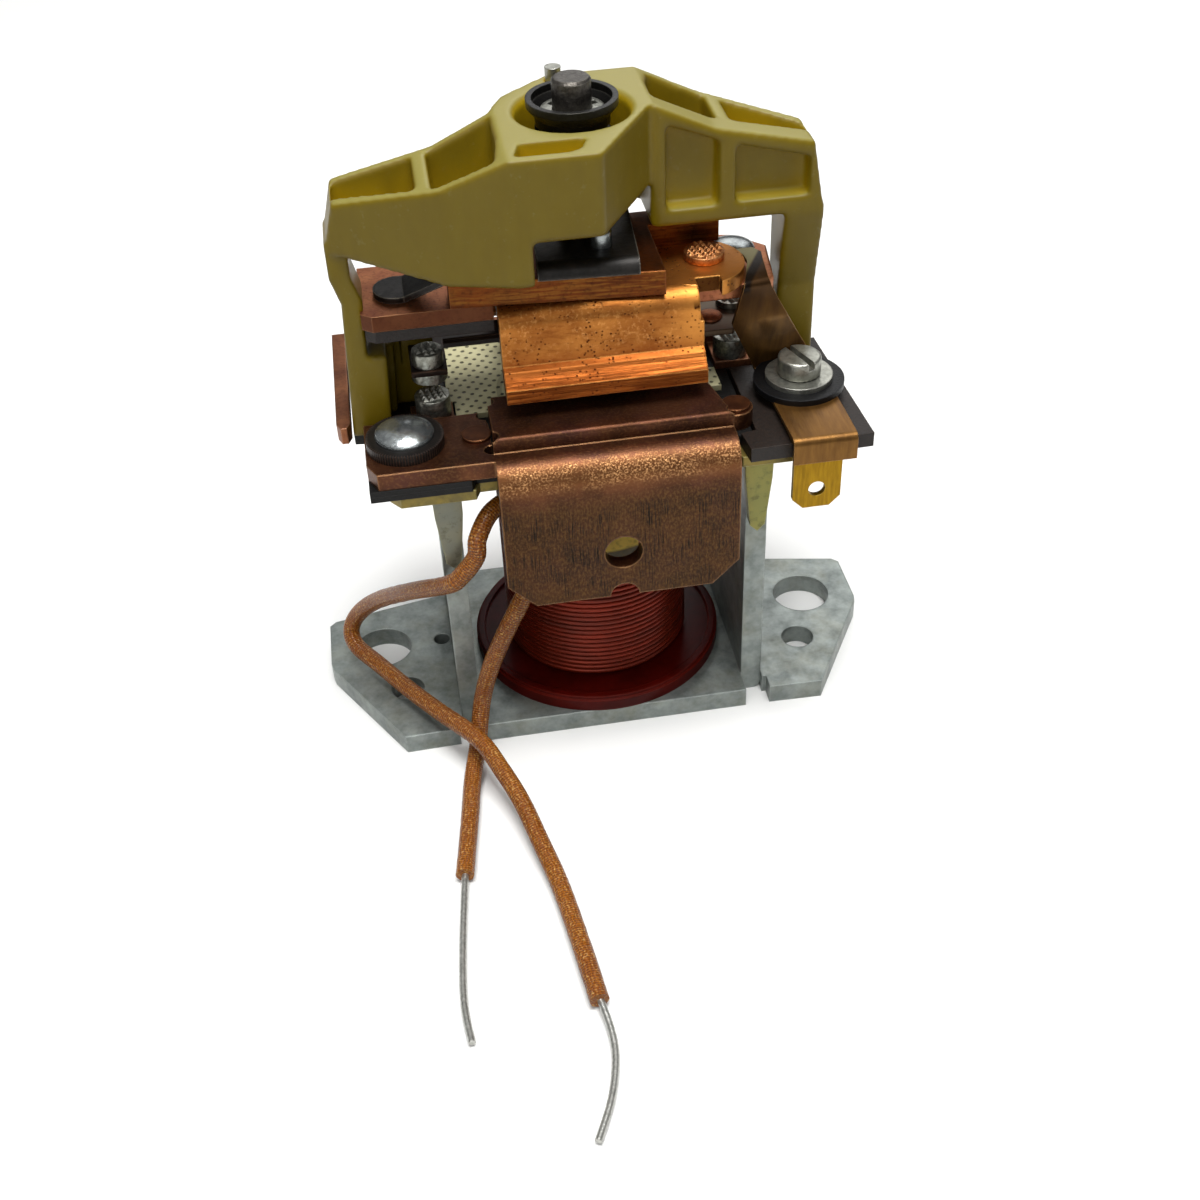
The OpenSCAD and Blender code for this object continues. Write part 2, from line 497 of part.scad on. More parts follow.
// Contact bridge
module contact_blade() color([0.8, 0.47, 0.22]) difference() {
    union() {
        translate([-11.4, -7.2, z_blade]) cube([25.4, 14.4, blade_t]);
        rod([14.6, -1.9], z_blade, z_bar, 12.2);
        blade_wall(-11.4, 14, 0);
        blade_wall(-11.6, 11.4, 180);
    }
    // notch beside the lobe
    translate([13.5, -12, z_blade - 2]) cube([3.2, 5.9, 5]);
    rod([0, 0], z_blade - 1, z_bar + 1, pin_d + 2 * run_gap);
}
// Wall with a stepped lip: the front one is drawn, the rear one is turned round
module blade_wall(x0, x1, turn) rotate([0, 0, turn]) translate([x0, -1.2, 0]) {
    w = x1 - x0;
    translate([0, -6, z_bar - 2.6]) mirror([0, 1, 0]) quarter(2.6, 0.6, w);
    translate([0, -8.6, z_lip + 3.6]) cube([w, 2, z_bar - 2.6 - z_lip - 3.6 + e]);
    // joggle and lip
    translate([0, 0, z_lip]) rotate([90, 0, 90]) linear_extrude(w)
        polygon([[-6.6, 3.8], [-8.6, 3.8], [-9.4, 3.4], [-9.8, 2.9], [-11.2, 1.9], [-11.2, 0],
                 [-9.2, 0], [-7.4, 1.2], [-6.6, 2]]);
}
module bridge_bar() color([0.5, 0.22, 0.12]) difference() {
    slab(bar_edge, z_bar, bar_t);
    rod([0, 0], z_bar - 1, z_clamp + 1, pin_d + 2 * run_gap);
}
module left_arm() color([0.72, 0.46, 0.3])
    slab([[-11.8, -7.2], [1.3 - left_end, -7.2], [-left_end, -6.2], [-left_end, 6], [-11.8, 6]], z_blade - 0.1, blade_t + 0.1);
module arm_insulation() color([0.2, 0.12, 0.08])
    slab([[-11.8, -6.9], [1.5 - left_end, -6.9], [0.3 - left_end, -6], [0.3 - left_end, 5.6], [-11.8, 5.6]], z_blade - 1.8, 1.7);
module right_arm() color([0.72, 0.46, 0.34])
    slab([[12.2, -5.6], [15.6, -5.6], [15.6, -7.2], [arm_end, -7.2], [arm_end, 5], [24.5, 6.4], [19, 7.9], [12.2, 7.9]],
         z_blade - 2.1, 2.1);
module contact_leaf() color([0.55, 0.33, 0.2]) difference() {
    union() {
        hull() for (s = [-1, 1]) rod(contact_at * s, z_leaf, z_leaf + leaf_t, contact_d);
        rod([0, 0], z_leaf, z_leaf + leaf_t, 9);
    }
    rod([0, 0], z_leaf - 1, z_leaf + 2, pin_d + 2 * run_gap);
}
module moving_contacts() color([0.68, 0.68, 0.64]) both() {
    rod(contact_at, z_lip, z_leaf, contact_d);
    rod(contact_at, z_leaf + leaf_t, z_leaf + leaf_t + 0.8, contact_d - 0.6);
}
module bridge_spacer() color([0.2, 0.12, 0.08]) ring([0, 0], z_leaf + leaf_t, z_blade, 9, pin_d + 2 * run_gap);
// Leaf that runs along the bar and down to the left arm
module pressure_leaf() color([0.2, 0.19, 0.17]) {
    slab([[-17.2, -7], [-6.6, -7.6], [-6.6, -2.6], [-17.2, -2.4]], z_clamp, leaf_t);
    hull() {
        translate([-17.3, -7, z_clamp]) cube([0.2, 4.6, leaf_t]);
        translate([-22.4, -4.4, z_bar]) cube([0.2, 5.6, leaf_t]);
    }
    rod([-23.2, -1.6], z_bar, z_bar + leaf_t, 5.8);
}
module clamp_plate() color([0.22, 0.21, 0.2]) difference() {
    rotate([0, 0, -4]) translate([-5.6, -7.4, z_clamp]) {
        cube([12.4, 13, clamp_t]);
        mirror([0, 1, 0]) quarter(clamp_t, e, 12.4);
    }
    rod([0, 0], z_clamp - 1, z_arm + 1, pin_d + 2 * run_gap);
}
module clamp_stud() color([0.66, 0.68, 0.7]) {
    rod([2.2, -4.7], z_arm, z_arm + 2, 2.6);
    rod([2.2, -4.7], z_arm, z_arm + 4.2, 2.2);
}

echo(coil_wire_gap = coil_pitch - coil_wire_d, spring_gap = (z_cup - z_seat) / spring_curls - spring_wire_d);

yoke();
ear_left();
ear_right();
core();
bobbin();
winding_core();
winding();
top_plate();
lower_sheet();
upper_sheet();
phenolic_plate();
front_terminal();
rear_terminal();
dome_rivets();
rivet_washers();
flush_rivets();
cream_sheet();
fixed_contacts();
blade_terminal();
auxiliary_spring();
fibre_washer();
screw_washer();
terminal_screw();
terminal_nut();
arch();
hub_dowel();
long_lead();
short_lead();
long_wire_end();
short_wire_end();
pin();
plunger();
cup();
clip();
return_spring();
contact_blade();
bridge_bar();
left_arm();
arm_insulation();
right_arm();
contact_leaf();
moving_contacts();
bridge_spacer();
pressure_leaf();
clamp_plate();
clamp_stud();
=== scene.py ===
import math

import bpy
from mathutils import Matrix, Vector


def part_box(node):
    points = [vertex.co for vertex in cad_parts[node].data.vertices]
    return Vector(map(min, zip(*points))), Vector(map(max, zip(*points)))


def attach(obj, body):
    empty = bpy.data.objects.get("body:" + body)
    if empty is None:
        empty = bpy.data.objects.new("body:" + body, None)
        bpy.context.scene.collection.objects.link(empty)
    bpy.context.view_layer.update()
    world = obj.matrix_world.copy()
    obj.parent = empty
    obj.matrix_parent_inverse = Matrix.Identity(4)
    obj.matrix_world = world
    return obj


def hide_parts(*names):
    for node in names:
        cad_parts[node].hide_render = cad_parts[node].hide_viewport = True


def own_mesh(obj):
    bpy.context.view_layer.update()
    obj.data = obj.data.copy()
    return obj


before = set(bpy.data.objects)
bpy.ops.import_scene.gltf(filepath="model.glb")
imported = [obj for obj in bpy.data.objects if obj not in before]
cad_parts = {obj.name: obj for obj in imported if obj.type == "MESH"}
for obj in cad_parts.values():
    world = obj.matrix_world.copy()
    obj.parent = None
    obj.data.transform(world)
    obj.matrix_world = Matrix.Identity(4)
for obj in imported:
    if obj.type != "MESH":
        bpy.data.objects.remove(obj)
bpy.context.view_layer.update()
mm = 0.001
print("CAD frame loaded:", len(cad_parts), "nodes")


# sRGB hex colour to linear, with an alpha of 1
def linear(hexColour):
    raw = [int(hexColour.lstrip("#")[i:i + 2], 16) / 255 for i in (0, 2, 4)]
    return [c / 12.92 if c <= 0.04045 else ((c + 0.055) / 1.055) ** 2.4 for c in raw] + [1.0]


# a value is a constant, a hex colour, a plug, or a node whose first plug in use is meant
def plugIn(tree, node, inputs):
    for key, value in inputs.items():
        if isinstance(value, bpy.types.Node):
            value = next(plug for plug in value.outputs if plug.enabled)
        if isinstance(value, bpy.types.NodeSocket):
            tree.links.new(value, node.inputs[key])
        else:
            node.inputs[key].default_value = linear(value) if isinstance(value, str) else value


def addNode(tree, kind, inputs, **settings):
    node = tree.nodes.new("ShaderNode" + kind)
    for key, value in settings.items():
        setattr(node, key, value)
    plugIn(tree, node, inputs)
    return node


# Camera, floor and light
view = {
    "place": (-22.272, -174.907, 153.898),  # mm, fitted to the photograph
    "ahead": (0.10027, 0.76485, -0.63636),
    "right": (0.98675, -0.15845, -0.03496),
    "focal": 46.09,                          # mm on a 36 mm sensor
}
eye = bpy.data.cameras.new("Camera")
eye.lens = view["focal"]
eye.sensor_width = 36
eye.clip_start = 0.01
camera = bpy.data.objects.new("Camera", eye)
bpy.context.scene.collection.objects.link(camera)
ahead = Vector(view["ahead"]).normalized()
right = Vector(view["right"]).normalized()
up = right.cross(ahead).normalized()
turned = Matrix((right, up, -ahead)).transposed().to_4x4()
camera.matrix_world = Matrix.Translation(Vector(view["place"]) * mm) @ turned
bpy.context.scene.camera = camera

floorSizes = {"width": 8.0, "cuts": 3, "seen": "#f4f4f2", "bounce": "#8c8c8a"}
bpy.ops.object.select_all(action="DESELECT")
bpy.ops.mesh.primitive_plane_add(size=floorSizes["width"], location=(0, 0, 0))
floor = bpy.context.object
floor.name = "floor"
bpy.ops.object.mode_set(mode="EDIT")
bpy.ops.mesh.subdivide(number_cuts=floorSizes["cuts"])
bpy.ops.object.mode_set(mode="OBJECT")
# matt paper: white to the eye and in mirrors, and a quieter grey where it throws light back on the part
paper = bpy.data.materials.new("Matt white paper")
paper.use_nodes = True
rays = addNode(paper.node_tree, "LightPath", {})
seen = addNode(paper.node_tree, "Math", {0: rays.outputs["Is Camera Ray"],
                                         1: rays.outputs["Is Glossy Ray"]}, operation="ADD")
seen = addNode(paper.node_tree, "Math", {0: seen, 1: rays.outputs["Is Transmission Ray"]}, operation="ADD",
               use_clamp=True)
shade = addNode(paper.node_tree, "Mix", {0: seen, 6: floorSizes["bounce"], 7: floorSizes["seen"]},
                data_type="RGBA")
plugIn(paper.node_tree, paper.node_tree.nodes["Principled BSDF"], {"Base Color": shade, "Roughness": 0.9})
floor.data.materials.append(paper)

aim = Vector((0, 0, 0.04))
lamps = {
    "overhead": {"place": (0.02, -0.10, 0.70), "size": 0.36, "watts": 5.2},
    "front": {"place": (-0.25, -0.60, 0.40), "size": 0.5, "watts": 1.3},
    "back": {"place": (0.20, 0.55, 0.45), "size": 0.4, "watts": 0.9},
}
for name, lamp in lamps.items():
    glow = bpy.data.lights.new(name, "AREA")
    glow.shape = "SQUARE"
    glow.size = lamp["size"]
    glow.energy = lamp["watts"]
    holder = bpy.data.objects.new(name, glow)
    holder.location = lamp["place"]
    holder.rotation_euler = (aim - Vector(lamp["place"])).to_track_quat("-Z", "Y").to_euler()
    bpy.context.scene.collection.objects.link(holder)
# a room that is dim at eye level and bright overhead
room = {"low": "#48484a", "high": "#ffffff", "from": 0.1, "to": 0.95, "strength": 0.55}
sky = bpy.data.worlds.new("Soft room")
bpy.context.scene.world = sky
sky.use_nodes = True
ways = addNode(sky.node_tree, "TexCoord", {})
tall = addNode(sky.node_tree, "SeparateXYZ", {0: ways.outputs["Generated"]})
overhead = addNode(sky.node_tree, "MapRange", {"Value": tall.outputs["Z"], "From Min": room["from"],
                                               "From Max": room["to"]})
shade = addNode(sky.node_tree, "Mix", {0: overhead, 6: room["low"], 7: room["high"]}, data_type="RGBA")
plugIn(sky.node_tree, sky.node_tree.nodes["Background"], {"Color": shade, "Strength": room["strength"]})
bpy.context.scene.view_settings.view_transform = "Standard"
print("camera, floor and lamps ready")


# Patterns that the finishes draw from real sizes, in mm

sheetHoles = {"turn": 32, "perMm": (0.8, 0.74, 0), "outer": 0.25, "inner": 0.16}
sheetRing = {"radius": 11.5, "halfWidth": 0.35}
washerTeeth = {"at": (24.5, 11.9, 0), "count": 84.0, "from": 4.5, "to": 4.8, "gap": -0.2, "tooth": 0.9}
burns = {"perMm": 1.9, "outer": 0.3, "inner": 0.16}
yarns = {"around": 7.0, "per10Mm": 14.0, "stray": 0.2, "strayPerMm": 1.1, "low": -0.9, "high": 0.7}


# rows of small holes, 1.25 mm and 1.35 mm apart, turned as in the photograph
def piercedHoles(tree, place):
    turned = addNode(tree, "VectorRotate", {"Vector": place, "Angle": math.radians(sheetHoles["turn"])},
                     rotation_type="Z_AXIS")
    cell = addNode(tree, "VectorMath", {0: turned, 1: sheetHoles["perMm"]}, operation="MULTIPLY")
    part = addNode(tree, "VectorMath", {0: cell}, operation="FRACTION")
    away = addNode(tree, "VectorMath", {0: part, 1: (0.5, 0.5, 0)}, operation="DISTANCE")
    return addNode(tree, "MapRange", {"Value": away, "From Min": sheetHoles["outer"],
                                      "From Max": sheetHoles["inner"]})


# one ring pressed round the pin
def pressedRing(tree, place):
    flat = addNode(tree, "VectorMath", {0: place, 1: (1, 1, 0)}, operation="MULTIPLY")
    out = addNode(tree, "VectorMath", {0: flat}, operation="LENGTH")
    return addNode(tree, "Math", {0: out, 1: sheetRing["radius"], 2: sheetRing["halfWidth"]},
                   operation="COMPARE")


# radial teeth on the rim of each rivet washer; the second one stands opposite the first
def radialTeeth(tree, place):
    axes = addNode(tree, "SeparateXYZ", {0: place})
    side = addNode(tree, "Math", {0: axes.outputs["X"]}, operation="SIGN")
    facing = addNode(tree, "VectorMath", {0: place, "Scale": side}, operation="SCALE")
    around = addNode(tree, "VectorMath", {0: facing, 1: washerTeeth["at"]}, operation="SUBTRACT")
    parts = addNode(tree, "SeparateXYZ", {0: around})
    angle = addNode(tree, "Math", {0: parts.outputs["Y"], 1: parts.outputs["X"]}, operation="ARCTAN2")
    steps = addNode(tree, "Math", {0: angle, 1: washerTeeth["count"]}, operation="MULTIPLY")
    wave = addNode(tree, "Math", {0: steps}, operation="SINE")
    flat = addNode(tree, "VectorMath", {0: around, 1: (1, 1, 0)}, operation="MULTIPLY")
    out = addNode(tree, "VectorMath", {0: flat}, operation="LENGTH")
    rim = addNode(tree, "MapRange", {"Value": out, "From Min": washerTeeth["from"],
                                     "From Max": washerTeeth["to"]})
    tooth = addNode(tree, "MapRange", {"Value": wave, "From Min": washerTeeth["gap"],
                                       "From Max": washerTeeth["tooth"]})
    return addNode(tree, "Math", {0: rim, 1: tooth}, operation="MULTIPLY")


# dark pits up to 0.3 mm across where the arc has burnt
def arcPits(tree, place):
    pits = addNode(tree, "TexVoronoi", {"Vector": place, "Scale": burns["perMm"], "Randomness": 1.0},
                   feature="F1")
    return addNode(tree, "MapRange", {"Value": pits, "From Min": burns["outer"],
                                      "From Max": burns["inner"]})


# crossed yarns, seven each way round the sleeve and 0.7 mm apart along it; the real ones are too fine
# to show, so these are drawn as coarse as they need to be
def crossedYarns(tree, place):
    lay = addNode(tree, "UVMap", {}, uv_map="lay")
    parts = addNode(tree, "SeparateXYZ", {0: lay})
    drift = addNode(tree, "TexNoise", {"Vector": place, "Scale": yarns["strayPerMm"], "Detail": 2.0})
    spread = addNode(tree, "Math", {0: drift, 1: yarns["stray"], 2: parts.outputs["X"]},
                     operation="MULTIPLY_ADD")
    turns = addNode(tree, "Math", {0: spread, 1: yarns["around"]}, operation="MULTIPLY")
    runs = addNode(tree, "Math", {0: parts.outputs["Y"], 1: yarns["per10Mm"]}, operation="MULTIPLY")
    waves = []
    for sign in ("ADD", "SUBTRACT"):
        lean = addNode(tree, "Math", {0: turns, 1: runs}, operation=sign)
        angle = addNode(tree, "Math", {0: lean, 1: 2 * math.pi}, operation="MULTIPLY")
        waves.append(addNode(tree, "Math", {0: angle}, operation="SINE"))
    weave = addNode(tree, "Math", {0: waves[0], 1: waves[1]}, operation="MULTIPLY")
    return addNode(tree, "MapRange", {"Value": weave, "From Min": yarns["low"],
                                      "From Max": yarns["high"]})


# Finishes

# how far the softened normal has to lean from the true one for an edge to take its painted highlight and
# wear, from hardly to fully
edgeWearAndHighlightLean = (0.995, 0.7)


# A finish is a base, layers over it and edges with a painted highlight and wear. A layer covers its amount,
# in grains and patches of the given mm, within the given places: x, y, z in mm, far from the middle, up,
# edge, open air or a line.
def makeFinish(about):
    material = bpy.data.materials.new(about["name"])
    material.use_nodes = True
    tree = material.node_tree
    shader = tree.nodes["Principled BSDF"]
    coords = addNode(tree, "TexCoord", {})
    place = addNode(tree, "VectorMath", {0: coords.outputs["Object"], "Scale": 1 / mm}, operation="SCALE")
    axes = addNode(tree, "SeparateXYZ", {0: place})
    soft = addNode(tree, "Bevel", {"Radius": about["rounding"] * mm}, samples=4)
    flat = addNode(tree, "NewGeometry", {})
    facing = addNode(tree, "SeparateXYZ", {0: flat.outputs["Normal"]})
    shelter = addNode(tree, "AmbientOcclusion", {"Distance": about.get("reach", 6.0) * mm}, samples=6)
    measures = {
        "x": axes.outputs["X"], "y": axes.outputs["Y"], "z": axes.outputs["Z"],
        "far": addNode(tree, "Math", {0: axes.outputs["Y"]}, operation="ABSOLUTE"),
        "up": facing.outputs["Z"],
        "edge": addNode(tree, "VectorMath", {0: soft, 1: flat.outputs["Normal"]}, operation="DOT_PRODUCT"),
        "open": shelter.outputs["AO"],
    }
    colour, height, rough = about["colour"], 0.0, about["rough"]
    layers = list(about["layers"])
    # edges painted lighter: a painted highlight along with the wear
    if "edgeWearAndHighlight" in about:
        layers.append({"amount": about["edgeWearAndHighlight"][0], "where": {"edge": edgeWearAndHighlightLean}, "colour": about["edgeWearAndHighlight"][1]})
    for layer in layers:
        share = layer.get("amount", 1.0)
        if "pattern" in layer:
            share = addNode(tree, "Math", {0: share, 1: layer["pattern"](tree, place)},
                            operation="MULTIPLY")
        if "grain" in layer:
            grain = layer["grain"] if isinstance(layer["grain"], tuple) else [layer["grain"]] * 3
            scaled = addNode(tree, "VectorMath", {0: place, 1: [1 / size for size in grain]},
                             operation="MULTIPLY")
            noise = addNode(tree, "TexNoise", {"Vector": scaled, "Scale": 1.0,
                                               "Detail": layer.get("detail", 4.0), "Roughness": 0.6})
            span = addNode(tree, "MapRange", {"Value": noise, "From Min": layer["span"][0],
                                              "From Max": layer["span"][1]})
            share = addNode(tree, "Math", {0: share, 1: span}, operation="MULTIPLY")
        if "patches" in layer:
            broad = addNode(tree, "TexNoise", {"Vector": place, "Scale": 1 / layer["patches"][0],
                                               "Detail": 2.0})
            span = addNode(tree, "MapRange", {"Value": broad, "From Min": layer["patches"][1],
                                              "From Max": layer["patches"][2]})
            share = addNode(tree, "Math", {0: share, 1: span}, operation="MULTIPLY")
        for measure, (start, end) in layer.get("where", {}).items():
            value = measures.get(measure)
            if value is None:
                value = addNode(tree, "VectorMath", {0: place, 1: measure}, operation="DOT_PRODUCT")
            within = addNode(tree, "MapRange", {"Value": value, "From Min": start, "From Max": end})
            share = addNode(tree, "Math", {0: share, 1: within}, operation="MULTIPLY")
        if "colour" in layer:
            colour = addNode(tree, "Mix", {0: share, 6: colour, 7: layer["colour"]}, data_type="RGBA")
        if "raise" in layer:
            height = addNode(tree, "Math", {0: share, 1: layer["raise"], 2: height},
                             operation="MULTIPLY_ADD")
        if "rougher" in layer:
            rough = addNode(tree, "Math", {0: share, 1: layer["rougher"], 2: rough},
                            operation="MULTIPLY_ADD")
    bump = addNode(tree, "Bump", {"Height": height, "Normal": soft, "Distance": mm})
    plugIn(tree, shader, {"Base Color": colour, "Metallic": about["metal"], "Roughness": rough,
                          "Normal": bump, "Coat Weight": about.get("coat", 0.0)})
    # resin, paper and braid shine less than metal, which keeps its own specular level
    if about["metal"] < 0.3:
        shader.inputs["Specular IOR Level"].default_value = about.get("shine", 0.35)
    if "through" in about:
        plugIn(tree, shader, {"Subsurface Weight": about["through"],
                              "Subsurface Scale": about["depth"] * mm,
                              "Subsurface Radius": about["reds"]})
    return material


